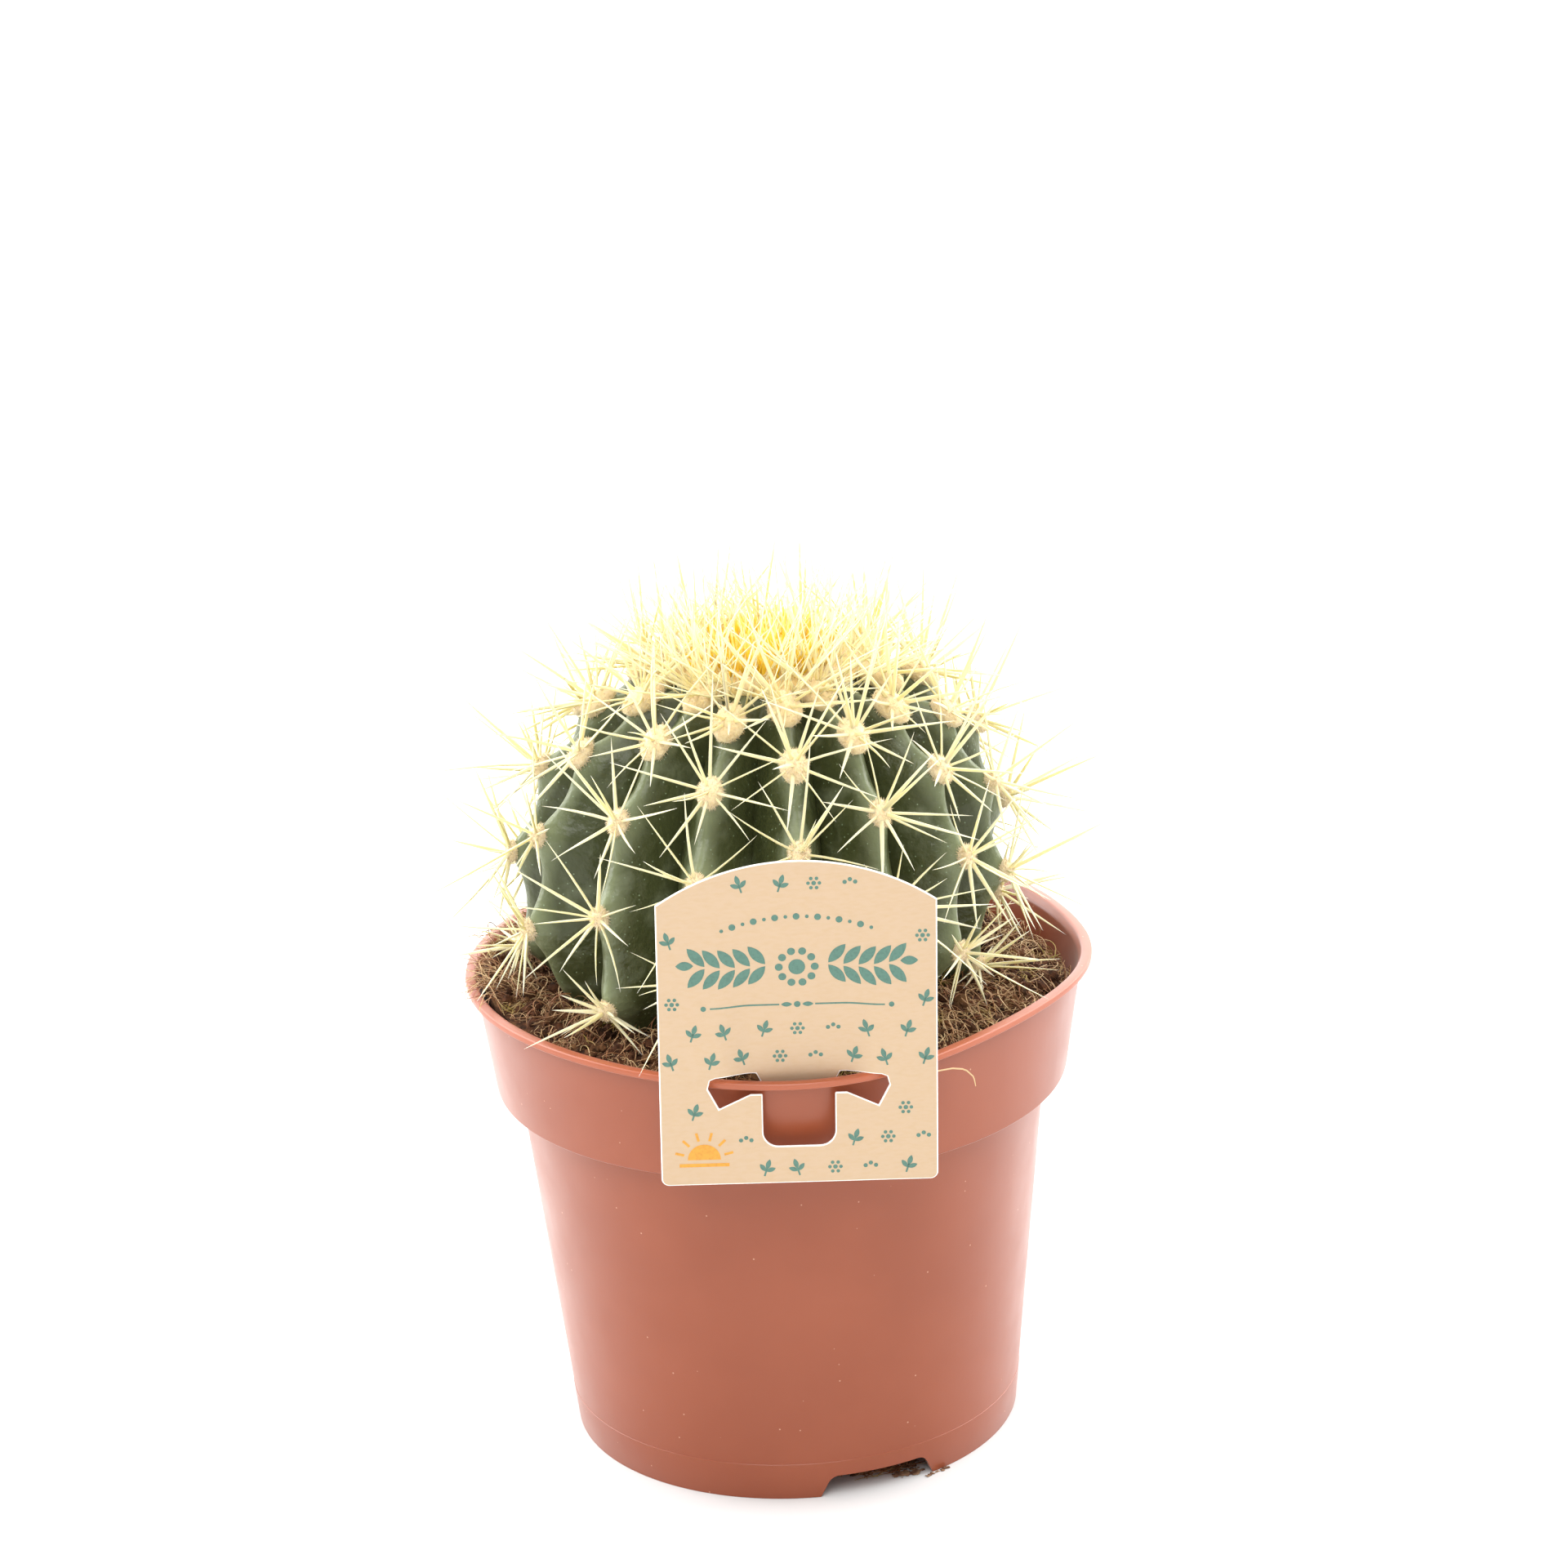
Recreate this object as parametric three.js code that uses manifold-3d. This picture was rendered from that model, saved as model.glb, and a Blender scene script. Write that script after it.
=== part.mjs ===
// A young golden barrel cactus in a nursery pot, with a die-cut card label hooked on the rim.
// Millimetres, +Z up. The origin is the centre of the pot's foot, on the surface that it stands
// on. The front, where the label hangs, is -Y, and +X is to the right of it.
import * as THREE from 'three';
import { mergeVertices } from 'three/addons/utils/BufferGeometryUtils.js';
import Module from 'manifold-3d';

const wasm = await Module();
wasm.setup();

const DEGREE = Math.PI / 180;

// ---- driving dimensions: pot ----
const POT_HEIGHT = 92.6;
const WALL = 0.9;
const LIP_RADIUS = 60; // outside of the rolled lip
const LIP_WIDTH = 2.0;
const LIP_HEIGHT = 1.3;
const LIP_ROUND = 0.35;
const COLLAR_HEIGHT = 71.15; // underside of the collar's step
const COLLAR_FOOT_RADIUS = 55.0; // outside, at the step
const COLLAR_TOP_RADIUS = 58.1; // outside, under the lip
const BODY_TOP_RADIUS = 50.75;
const FOOT_RADIUS = 43.3;
const FOOT_LINE_HEIGHT = 7.5; // the mould's parting line
const FOOT_LINE_STEP = 0.25;
const FOOT_RING_WIDTH = 1.3;
const FLOOR_UNDERSIDE = 4.4;
const FLOOR_THICKNESS = 1.2;
const POT_SIDES = 48; // of the compost too, so that it lies along the wall
const NOTCHES = 3;
const NOTCH_DIRECTION = -67.5; // of the one that shows from the front
const NOTCH_WIDTH = [19.5, 15]; // at the surface, and at its top
const DRAIN_RADIUS = 3.5;
const DRAIN_CIRCLE = 32;
// The thin rim is squeezed out of round: [direction, push outwards, half width of the push].
const RIM_PUSHES = [
  [-135, -2.6, 24],
  [-82, 2.2, 16],
  [-42, -3.9, 21],
  [-2, 1.0, 14],
  [54, 3.4, 19],
  [140, 1.2, 24],
];

// ---- driving dimensions: compost ----
const SOIL_SEAT_GAP = 0.3; // over the pot's floor
const SOIL_WALL_GAP = 0.6; // dry compost shrinks a little from the wall
const SOIL_ROUGHNESS = 1.1;
const SOIL_STEM_HEIGHT = 87; // of its surface where it meets the stem
const SOIL_STEM_GAP = 0.5; // round the stem's root crown
const SOIL_MOUND_RADIUS = 40; // the surface slopes from here to the wall
const SOIL_RINGS = [52, 48, 44, 40, 36, 30]; // radii of the surface's rings of points
// Surface height at the pot's wall: [direction, height].
const SOIL_EDGE = [
  [-180, 91.5],
  [-135, 87.5],
  [-90, 85.5],
  [-45, 84.5],
  [0, 84],
  [60, 82.5],
  [120, 86],
  [180, 91.5],
];

// ---- driving dimensions: cactus ----
const BARREL_RADIUS = 44.7; // over the rib crests, between areoles
const BARREL_ABOVE = 40; // crown above the widest level
const BARREL_BELOW = 38.7; // root crown below it
const BARREL_CENTRE = new THREE.Vector3(-2.1, 0, 113.3);
const BARREL_LEAN = 0.079; // X per Z
const BARREL_SQUARENESS = 2.17; // exponent of the outline: 2 is an ellipse
const FURROW_DEPTH = 0.235; // share of the crest's own radius
const FURROW_SHARPNESS = 1.2;
const FURROWS_BEGIN = [12, 32]; // distances from the apex between which they deepen
const FURROWS_END = [80, 88]; // heights between which they run out into the round root crown
const TUBERCLE_HEIGHT = 2.3; // swelling of a crest under each areole
const TUBERCLE_LENGTH = 4.6;
// Each rib: [direction from the front, phase of its areoles in steps]. The first nine show.
const RIBS = [
  [-89, 0.55],
  [-67, 0.05],
  [-39.3, 0.6],
  [-15.8, 0.14],
  [7.6, 0.84],
  [29.2, 0.55],
  [52.9, 0.3],
  [75.5, 0.8],
  [98, 0.35],
  [119.5, 0.85],
  [141, 0.4],
  [162.5, 0.9],
  [184, 0.45],
  [205.5, 0.95],
  [227, 0.5],
  [248.5, 0.0],
];
const COLUMNS_PER_RIB = 4;
const ROW_STEP = 5.2; // along a rib, in the open
const ROOT_ROW_STEP = 12; // and in the compost
const ROOT_TIP_LENGTH = 4; // the last stretch of the root crown, closed by one fan of faces
const AREOLE_FIRST_STEP = 11; // spacing along a rib at the apex
const AREOLE_GROWTH = 0.1; // spacing added per mm along the rib
const AREOLE_RANGE = [17, 88]; // along the rib, from the apex
const AREOLE_SIZE = [2.9, 2.0, 3.6]; // half width, half thickness, half length
const SPINE_RADIUS = 0.5;
const SPINE_START = 1.15; // from the middle of its areole, so that roots stay apart inside
const CROWN_SPINE_ROOT = 1.5; // sunk into the crown
const SPINE_CLEARANCE = 1; // kept to the compost, the rim and the label
const SPINE_BEND_STEP = 0.08; // share by which a spine that would touch is turned away at a time
const SPINE_REACH = [65, 62.4]; // furthest that a tip comes from the pot's axis along X and Y
const RADIAL_SPINES = 5;
const RADIAL_LENGTH = [13, 18];
const RADIAL_LIFT = [14, 34]; // degrees above the skin
const CENTRAL_LENGTH = [18, 24];
const CENTRAL_DROOP = 0.35;
const CROWN_RADIUS = 17;
const CROWN_SPINES = 84;
const CROWN_LENGTH = [16, 25];
const CROWN_SPREAD = [-0.43, 0.33]; // outward lean of the spines at the middle and at the edge
const CROWN_SCATTER = [0.67, 0.8]; // range of a spine's own lean, outwards and sideways
const CROWN_WOOL = [11, 11, 3.5]; // half sizes

// ---- driving dimensions: label ----
const CARD_WIDTH = 50;
const CARD_SIDE = 54; // height of the straight sides
const CARD_HEIGHT = 61.9;
const CARD_THICKNESS = 0.5;
const CARD_CORNER = 1.4;
const CARD_PLACE = new THREE.Vector3(2.5, -59.65, 72.75); // middle of its lower edge
const CARD_ROLL = 1.67 * DEGREE; // in its own plane
const CARD_YAW = 1.2 * DEGREE; // its right side hangs further back
const SLOT_TIP = [16.3, 18.7];
const SLOT_LOW = [14.3, 14.75];
const SLOT_INNER = [8.6, 17.6];
const SLOT_TOP = 20.65;
const SLOT_TOP_ENDS = [7.6, 15.9]; // beside the tongue's root, and at the flared tip
const SLOT_TOP_CORNER = [1, 0.4]; // cut off the corner at the tip
const WINDOW_HALF = 6.5;
const WINDOW_BOTTOM = 7.35;
const WINDOW_CORNER = 2.8;
const TONGUE_CUT = 0.35; // width of the die's cut round the tongue
const TONGUE_SLANT = 0.25; // back per mm down
const TONGUE_ROOT = 0.6; // overlap with the card above the slot
const TONGUE_POCKET = [15.5, 6, 16]; // room for it in the compost
const TONGUE_POCKET_PLACE = new THREE.Vector3(2.9, -56.4, 86.5);
const CARD_BEND_SPAN = [8.2, 15.4]; // half widths where it bends fully and not at all
const CARD_BEND_BACK = 2.1; // above the slot, behind the lip
const CARD_BEND_FORWARD = 0.3; // below it, over the wall
const CARD_BEND_LOWEST = -6; // where the forward bend would start, under the card's edge
// Grid lines of the sheet that the card is cut from, past its outline on every side.
const CARD_COLUMNS = [-25.25, -15.5, -13.1, -10.7, -8.3, 8.3, 10.7, 13.1, 15.5, 25.25];
const CARD_ROWS = [-0.5, 8.7, 17.75, 19.5, 28, 38.3, 48.5, 62.75];

// ---- small helpers ----

// The same number between 0 and 1 for the same two whole numbers.
const scatter = (i, j) => {
  const value = Math.sin(i * 12.9898 + j * 78.233) * 43758.5453;
  return value - Math.floor(value);
};

const between = ([low, high], share) => low + (high - low) * share;

const smooth = (low, high, value) => {
  const share = Math.min(1, Math.max(0, (value - low) / (high - low)));
  return share * share * (3 - 2 * share);
};

// A closed geometry as a solid. Flat triangles at a lathe's axis are dropped.
function solidOf(geometry) {
  const bare = geometry.clone();
  bare.deleteAttribute('normal');
  bare.deleteAttribute('uv');
  const merged = mergeVertices(bare, 1e-4);
  const corners = merged.index.array;
  const triangles = [];
  for (let i = 0; i < corners.length; i += 3) {
    const [a, b, c] = [corners[i], corners[i + 1], corners[i + 2]];
    if (a !== b && b !== c && c !== a) triangles.push(a, b, c);
  }
  return new wasm.Manifold(new wasm.Mesh({
    numProp: 3,
    vertProperties: merged.attributes.position.array,
    triVerts: new Uint32Array(triangles),
  }));
}

function geometryOf(solid) {
  const { vertProperties, triVerts } = solid.getMesh();
  const geometry = new THREE.BufferGeometry();
  geometry.setAttribute('position', new THREE.BufferAttribute(vertProperties, 3));
  geometry.setIndex(new THREE.BufferAttribute(triVerts, 1));
  geometry.computeVertexNormals();
  return geometry;
}

// A lathe about Z. The profile runs anticlockwise: out along the bottom and back along the top.
function turned(profile, sides) {
  const points = profile.map(([radius, height]) => new THREE.Vector2(radius, height));
  return new THREE.LatheGeometry(points, sides).rotateX(Math.PI / 2);
}

// Moves every point of a geometry by a function that changes the point in place.
function reshaped(geometry, move) {
  const position = geometry.attributes.position;
  const point = new THREE.Vector3();
  for (let i = 0; i < position.count; i += 1) {
    point.fromBufferAttribute(position, i);
    move(point, i);
    position.setXYZ(i, point.x, point.y, point.z);
  }
  return geometry;
}

// ---- pot ----

function rimPush(direction) {
  return RIM_PUSHES.reduce((sum, [centre, push, width]) => {
    const away = ((direction - centre + 540) % 360) - 180;
    return sum + push * Math.exp(-0.5 * (away / width) ** 2);
  }, 0);
}

// The squeeze of the rim, which dies out down the collar.
function squeeze(point) {
  const radius = Math.hypot(point.x, point.y);
  const share = Math.max(0, (point.z - COLLAR_HEIGHT) / (POT_HEIGHT - COLLAR_HEIGHT));
  if (radius < FOOT_RADIUS || share === 0) return;
  const push = rimPush(Math.atan2(point.y, point.x) / DEGREE) * share;
  point.x *= (radius + push) / radius;
  point.y *= (radius + push) / radius;
}

function potSolid() {
  const lipUnderside = POT_HEIGHT - LIP_HEIGHT;
  const floorTop = FLOOR_UNDERSIDE + FLOOR_THICKNESS;
  const footSlope = (BODY_TOP_RADIUS - FOOT_RADIUS) / COLLAR_HEIGHT;
  const lineRadius = FOOT_RADIUS + footSlope * FOOT_LINE_HEIGHT;
  const profile = [
    [0, FLOOR_UNDERSIDE],
    [FOOT_RADIUS - FOOT_RING_WIDTH, FLOOR_UNDERSIDE],
    [FOOT_RADIUS - FOOT_RING_WIDTH, 0],
    [FOOT_RADIUS - FOOT_LINE_STEP, 0],
    [lineRadius - FOOT_LINE_STEP, FOOT_LINE_HEIGHT],
    [lineRadius, FOOT_LINE_HEIGHT + FOOT_LINE_STEP],
    [BODY_TOP_RADIUS, COLLAR_HEIGHT],
    [COLLAR_FOOT_RADIUS, COLLAR_HEIGHT],
    [COLLAR_TOP_RADIUS, lipUnderside],
    [LIP_RADIUS - LIP_ROUND, lipUnderside],
    [LIP_RADIUS, lipUnderside + LIP_ROUND],
    [LIP_RADIUS, POT_HEIGHT - LIP_ROUND],
    [LIP_RADIUS - LIP_ROUND, POT_HEIGHT],
    [LIP_RADIUS - LIP_WIDTH + LIP_ROUND, POT_HEIGHT],
    [LIP_RADIUS - LIP_WIDTH, POT_HEIGHT - LIP_ROUND],
    [COLLAR_TOP_RADIUS - WALL, lipUnderside - LIP_ROUND],
    [COLLAR_FOOT_RADIUS - WALL, COLLAR_HEIGHT + WALL],
    [BODY_TOP_RADIUS - WALL, COLLAR_HEIGHT + WALL],
    [lineRadius - WALL, floorTop],
    [0, floorTop],
  ];
  let pot = solidOf(reshaped(turned(profile, POT_SIDES), squeeze));
  for (let i = 0; i < NOTCHES; i += 1) {
    const turn = (NOTCH_DIRECTION + (360 / NOTCHES) * i) * DEGREE;
    pot = pot.subtract(solidOf(notchCutter().rotateZ(turn)));
    const drain = new THREE.CylinderGeometry(DRAIN_RADIUS, DRAIN_RADIUS, floorTop, 12);
    drain.rotateX(Math.PI / 2).translate(DRAIN_CIRCLE, 0, floorTop).rotateZ(turn);
    pot = pot.subtract(solidOf(drain));
  }
  return pot;
}

// A trapezium through the foot ring, on the +X side.
function notchCutter() {
  const [low, high] = NOTCH_WIDTH.map((width) => width / 2);
  const below = -1;
  const flare = ((low - high) / FLOOR_UNDERSIDE) * -below;
  const outline = new THREE.Shape([
    new THREE.Vector2(-low - flare, below),
    new THREE.Vector2(low + flare, below),
    new THREE.Vector2(high, FLOOR_UNDERSIDE),
    new THREE.Vector2(-high, FLOOR_UNDERSIDE),
  ]);
  const reach = 12;
  const cutter = new THREE.ExtrudeGeometry(outline, { depth: reach, bevelEnabled: false });
  return cutter.rotateX(Math.PI / 2).rotateZ(Math.PI / 2).translate(FOOT_RADIUS - reach / 2, 0, 0);
}

// ---- cactus ----

// The rib crests' outline from the apex to the root, as points with their distance along it.
const CREST = (() => {
  const outline = [];
  const steps = 400;
  for (let i = 0; i <= steps; i += 1) {
    const angle = (0.5 - i / steps) * Math.PI;
    const [across, up] = [Math.cos(angle), Math.sin(angle)];
    const power = 2 / BARREL_SQUARENESS;
    const reach = up > 0 ? BARREL_ABOVE : BARREL_BELOW;
    const radius = BARREL_RADIUS * Math.max(0, across) ** power;
    const height = BARREL_CENTRE.z + reach * Math.sign(up) * Math.abs(up) ** power;
    const last = outline[i - 1];
    const along = last ? last.along + Math.hypot(radius - last.radius, height - last.height) : 0;
    outline.push({ radius, height, along });
  }
  return outline;
})();
const CREST_LENGTH = CREST[CREST.length - 1].along;

// The crest at a distance from the apex, with the outward normal in its own upright plane.
function crestAt(along) {
  const place = Math.min(CREST_LENGTH, Math.max(0, along));
  const after = Math.max(1, CREST.findIndex((point) => point.along >= place));
  const [from, to] = [CREST[after - 1], CREST[after]];
  const share = (place - from.along) / (to.along - from.along);
  const length = to.along - from.along;
  return {
    radius: between([from.radius, to.radius], share),
    height: between([from.height, to.height], share),
    normal: [(from.height - to.height) / length, (to.radius - from.radius) / length],
  };
}

// Distances of a rib's areoles from the apex: close in the crown, wider down the flanks.
function areolesOn(rib) {
  const phase = RIBS[rib][1];
  const places = [];
  for (let step = 0; step < 12; step += 1) {
    const growth = Math.exp(AREOLE_GROWTH * (step + phase)) - 1;
    places.push((AREOLE_FIRST_STEP / AREOLE_GROWTH) * growth);
  }
  return places.filter((place) => place > AREOLE_RANGE[0] && place < AREOLE_RANGE[1]);
}

// A point of the skin. The direction is in degrees from the front, and rise lifts it off.
function skinPoint(direction, along, rise) {
  const { radius, height, normal } = crestAt(along);
  const reach = radius + rise * normal[0];
  const level = height + rise * normal[1];
  const turn = (direction - 90) * DEGREE;
  return new THREE.Vector3(
    BARREL_CENTRE.x + reach * Math.cos(turn) + BARREL_LEAN * (level - BARREL_CENTRE.z),
    BARREL_CENTRE.y + reach * Math.sin(turn),
    level,
  );
}

// How far the skin lies out from the crests' outline, in a furrow or on a tubercle.
function skinRise(rib, fromCrest, along) {
  const { radius, height } = crestAt(along);
  const open = smooth(...FURROWS_END, height) * smooth(...FURROWS_BEGIN, along);
  const furrow = FURROW_DEPTH * radius * fromCrest ** FURROW_SHARPNESS;
  const swelling = areolesOn(rib).reduce(
    (sum, place) => sum + Math.exp(-(((along - place) / TUBERCLE_LENGTH) ** 2)),
    0,
  );
  return open * (TUBERCLE_HEIGHT * swelling * (1 - fromCrest) - furrow);
}

function stemSolid() {
  const soilLine = CREST.find(({ height }) => height < SOIL_STEM_HEIGHT).along;
  const rows = [];
  for (let along = 0; along < soilLine; along += ROW_STEP) rows.push(along);
  for (let along = soilLine; along < CREST_LENGTH - ROOT_TIP_LENGTH; along += ROOT_ROW_STEP) {
    rows.push(along);
  }
  rows.push(CREST_LENGTH);
  const blank = rows.map((along) => [crestAt(along).radius, crestAt(along).height]).reverse();
  const geometry = turned(blank, RIBS.length * COLUMNS_PER_RIB);
  return solidOf(reshaped(geometry, (point, i) => {
    const row = rows.length - 1 - (i % rows.length);
    const column = Math.floor(i / rows.length) % (RIBS.length * COLUMNS_PER_RIB);
    const rib = Math.floor(column / COLUMNS_PER_RIB);
    const share = (column % COLUMNS_PER_RIB) / COLUMNS_PER_RIB;
    const next = (rib + 1) % RIBS.length;
    const pitch = (RIBS[next][0] - RIBS[rib][0] + 360) % 360;
    const owner = share > 0.5 ? next : rib;
    const rise = skinRise(owner, 1 - Math.abs(1 - 2 * share), rows[row]);
    point.copy(skinPoint(RIBS[rib][0] + pitch * share, rows[row], rise));
  }));
}

// Whether a spine runs into the compost, the pot or the label, and which way it bends clear.
function bendOf(foot, aim, length) {
  const samples = 5;
  const tip = foot.clone().addScaledVector(aim, length);
  if (Math.abs(tip.x) > SPINE_REACH[0]) return new THREE.Vector3(-Math.sign(tip.x), 0, 0);
  if (Math.abs(tip.y) > SPINE_REACH[1]) return new THREE.Vector3(0, -Math.sign(tip.y), 0);
  for (let i = 1; i <= samples; i += 1) {
    const point = foot.clone().addScaledVector(aim, (length * i) / samples);
    const across = Math.abs(point.x - CARD_PLACE.x - 1) - SPINE_CLEARANCE;
    const inFront = point.y < CARD_PLACE.y + CARD_BEND_BACK + CARD_THICKNESS + SPINE_CLEARANCE;
    const behindCard = across < CARD_WIDTH / 2 && point.z < CARD_PLACE.z + CARD_HEIGHT + 1;
    if (inFront && behindCard) return new THREE.Vector3(0, 1, 0);
    if (point.z < groundHeight(point.x, point.y) + SPINE_CLEARANCE) {
      return new THREE.Vector3(0, 0, 1);
    }
  }
  return null;
}

// A three-sided needle along a line from a foot. It starts a little way along or behind it.
function spine(foot, aim, start, length) {
  const direction = aim.clone();
  for (let bend = bendOf(foot, direction, length); bend; ) {
    direction.addScaledVector(bend, SPINE_BEND_STEP).normalize();
    bend = bendOf(foot, direction, length);
  }
  const needle = new THREE.ConeGeometry(SPINE_RADIUS, length - start, 3, 1);
  needle.translate(0, (length + start) / 2, 0);
  const up = new THREE.Vector3(0, 1, 0);
  needle.applyQuaternion(new THREE.Quaternion().setFromUnitVectors(up, direction));
  return solidOf(needle.translate(foot.x, foot.y, foot.z));
}

// Across the rib, up along it and out of the skin, at a distance from the apex.
function skinAxes(direction, along) {
  const turn = (direction - 90) * DEGREE;
  const { normal } = crestAt(along);
  const out = new THREE.Vector3(
    normal[0] * Math.cos(turn),
    normal[0] * Math.sin(turn),
    normal[1],
  ).normalize();
  const across = new THREE.Vector3(-Math.sin(turn), Math.cos(turn), 0);
  return { across, up: new THREE.Vector3().crossVectors(out, across), out };
}

// A felt pad with its ring of radial spines and one longer central spine.
function areoleSolids(rib, step, along) {
  const direction = RIBS[rib][0];
  const foot = skinPoint(direction, along, skinRise(rib, 0, along));
  const { across, up, out } = skinAxes(direction, along);
  const pad = new THREE.OctahedronGeometry(1, 0).scale(...AREOLE_SIZE);
  pad.applyMatrix4(new THREE.Matrix4().makeBasis(across, out, up.clone().negate()));
  const solids = [solidOf(pad.translate(foot.x, foot.y, foot.z))];
  const name = rib * 16 + step;
  for (let i = 0; i < RADIAL_SPINES; i += 1) {
    const turn = ((i + scatter(name, i) * 0.4) / RADIAL_SPINES) * 2 * Math.PI;
    const lift = between(RADIAL_LIFT, scatter(name, i + 20)) * DEGREE;
    const aim = across.clone().multiplyScalar(Math.cos(turn) * Math.cos(lift));
    aim.addScaledVector(up, Math.sin(turn) * Math.cos(lift));
    aim.addScaledVector(out, Math.sin(lift));
    solids.push(spine(foot, aim, SPINE_START, between(RADIAL_LENGTH, scatter(name, i + 40))));
  }
  const aim = out.clone().addScaledVector(up, -CENTRAL_DROOP).normalize();
  solids.push(spine(foot, aim, SPINE_START, between(CENTRAL_LENGTH, scatter(name, 60))));
  return solids;
}

// The crown's wool, and its close young spines that stand up and cross each other.
function crownSolids() {
  const wool = new THREE.IcosahedronGeometry(1, 1).scale(...CROWN_WOOL);
  const apex = skinPoint(0, 0, 0);
  const solids = [solidOf(wool.translate(apex.x, apex.y, apex.z))];
  const goldenTurn = 137.508;
  for (let i = 0; i < CROWN_SPINES; i += 1) {
    const share = Math.sqrt((i + 0.5) / CROWN_SPINES);
    const direction = goldenTurn * i;
    const foot = skinPoint(direction, CROWN_RADIUS * share, 0);
    const { across, up, out } = skinAxes(direction, CROWN_RADIUS * share);
    const spread = between(CROWN_SPREAD, share) + CROWN_SCATTER[0] * scatter(i, 1);
    const aim = out.clone().addScaledVector(up, -spread);
    aim.addScaledVector(across, CROWN_SCATTER[1] * (scatter(i, 2) - 0.5)).normalize();
    solids.push(spine(foot, aim, -CROWN_SPINE_ROOT, between(CROWN_LENGTH, scatter(i, 3))));
  }
  return solids;
}

function cactusSolid() {
  const pieces = [stemSolid(), ...crownSolids()];
  RIBS.forEach((_, rib) => {
    areolesOn(rib).forEach((along, step) => pieces.push(...areoleSolids(rib, step, along)));
  });
  return wasm.Manifold.union(pieces);
}

// ---- compost ----

function soilEdgeHeight(direction) {
  const after = Math.max(1, SOIL_EDGE.findIndex(([angle]) => angle >= direction));
  const [[from, low], [to, high]] = [SOIL_EDGE[after - 1], SOIL_EDGE[after]];
  return low + (high - low) * smooth(from, to, direction);
}

// The compost's surface, without its roughness.
function soilHeight(x, y) {
  const outwards = smooth(SOIL_MOUND_RADIUS, COLLAR_TOP_RADIUS, Math.hypot(x, y));
  return between([SOIL_STEM_HEIGHT, soilEdgeHeight(Math.atan2(y, x) / DEGREE)], outwards);
}

// The highest that compost or pot can reach under a point.
function groundHeight(x, y) {
  const nearWall = Math.hypot(x, y) > COLLAR_FOOT_RADIUS - WALL;
  return nearWall ? POT_HEIGHT : soilHeight(x, y) + SOIL_ROUGHNESS;
}

function soilSolid() {
  const floorTop = FLOOR_UNDERSIDE + FLOOR_THICKNESS;
  const clear = WALL + SOIL_WALL_GAP;
  const ledge = COLLAR_HEIGHT + WALL + SOIL_SEAT_GAP;
  const top = POT_HEIGHT - LIP_HEIGHT;
  const wall = [COLLAR_FOOT_RADIUS - clear, COLLAR_TOP_RADIUS - clear];
  const sides = [
    [0, floorTop + SOIL_SEAT_GAP],
    [FOOT_RADIUS - clear, floorTop + SOIL_SEAT_GAP],
    [BODY_TOP_RADIUS - clear, ledge],
    [wall[0], ledge],
  ];
  const surface = [wall[1], ...SOIL_RINGS, 0].map((radius) => [radius, top]);
  const blank = [...sides, ...surface];
  const geometry = reshaped(turned(blank, POT_SIDES), (point, i) => {
    const row = i % blank.length;
    const atWall = row === sides.length;
    if (row >= sides.length && row < blank.length - 1) {
      const column = Math.floor(i / blank.length) % POT_SIDES;
      const rough = SOIL_ROUGHNESS * (scatter(row, column) - 0.5) * 2;
      point.z = soilHeight(point.x, point.y) + rough;
      if (atWall) {
        const shrink = between(wall, (point.z - ledge) / (top - ledge)) / wall[1];
        point.x *= shrink;
        point.y *= shrink;
      }
    }
    squeeze(point);
  });
  return solidOf(geometry).subtract(stemHole()).subtract(tonguePocket());
}

// The plain round hole that the stem's root crown stands in.
function stemHole() {
  const rows = 12;
  const widest = CREST.find(({ height }) => height < BARREL_CENTRE.z).along;
  const profile = [];
  for (let i = 0; i <= rows; i += 1) {
    const { radius, height, normal } = crestAt(between([CREST_LENGTH, widest], i / rows));
    const grown = i === 0 ? 0 : radius + SOIL_STEM_GAP * normal[0];
    profile.push([grown, height + SOIL_STEM_GAP * normal[1]]);
  }
  profile.push([0, profile[rows][1]]);
  return solidOf(reshaped(turned(profile, POT_SIDES), (point) => {
    point.x += BARREL_CENTRE.x + BARREL_LEAN * (point.z - BARREL_CENTRE.z);
    point.y += BARREL_CENTRE.y;
  }));
}

// ---- label ----

// How far the card's face bends back (+Y) from flat.
function cardBend(across, up) {
  const share = 1 - smooth(...CARD_BEND_SPAN, Math.abs(across));
  const [, , under, over] = CARD_ROWS;
  if (up <= under) return -CARD_BEND_FORWARD * share * smooth(CARD_BEND_LOWEST, under, up);
  return CARD_BEND_BACK * share * (1 - smooth(over, CARD_SIDE, up));
}

// A thin closed sheet on a grid of columns and rows, bent by cardBend.
function cardSheet() {
  const size = [CARD_WIDTH, CARD_THICKNESS, CARD_HEIGHT];
  const [columns, rows] = [CARD_COLUMNS.length - 1, CARD_ROWS.length - 1];
  const sheet = new THREE.BoxGeometry(...size, columns, 1, rows);
  return solidOf(reshaped(sheet, (point) => {
    const column = Math.round((point.x / CARD_WIDTH + 0.5) * columns);
    const row = Math.round((point.z / CARD_HEIGHT + 0.5) * rows);
    point.x = CARD_COLUMNS[column];
    point.z = CARD_ROWS[row];
    point.y += cardBend(point.x, point.z);
  }));
}

// An outline in the card's own plane, as a prism right through it.
function throughCard(outline) {
  const depth = 30;
  const prism = new THREE.ExtrudeGeometry(outline, {
    depth,
    bevelEnabled: false,
    curveSegments: 5,
  });
  return solidOf(prism.rotateX(Math.PI / 2).translate(0, depth / 2, 0));
}

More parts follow.
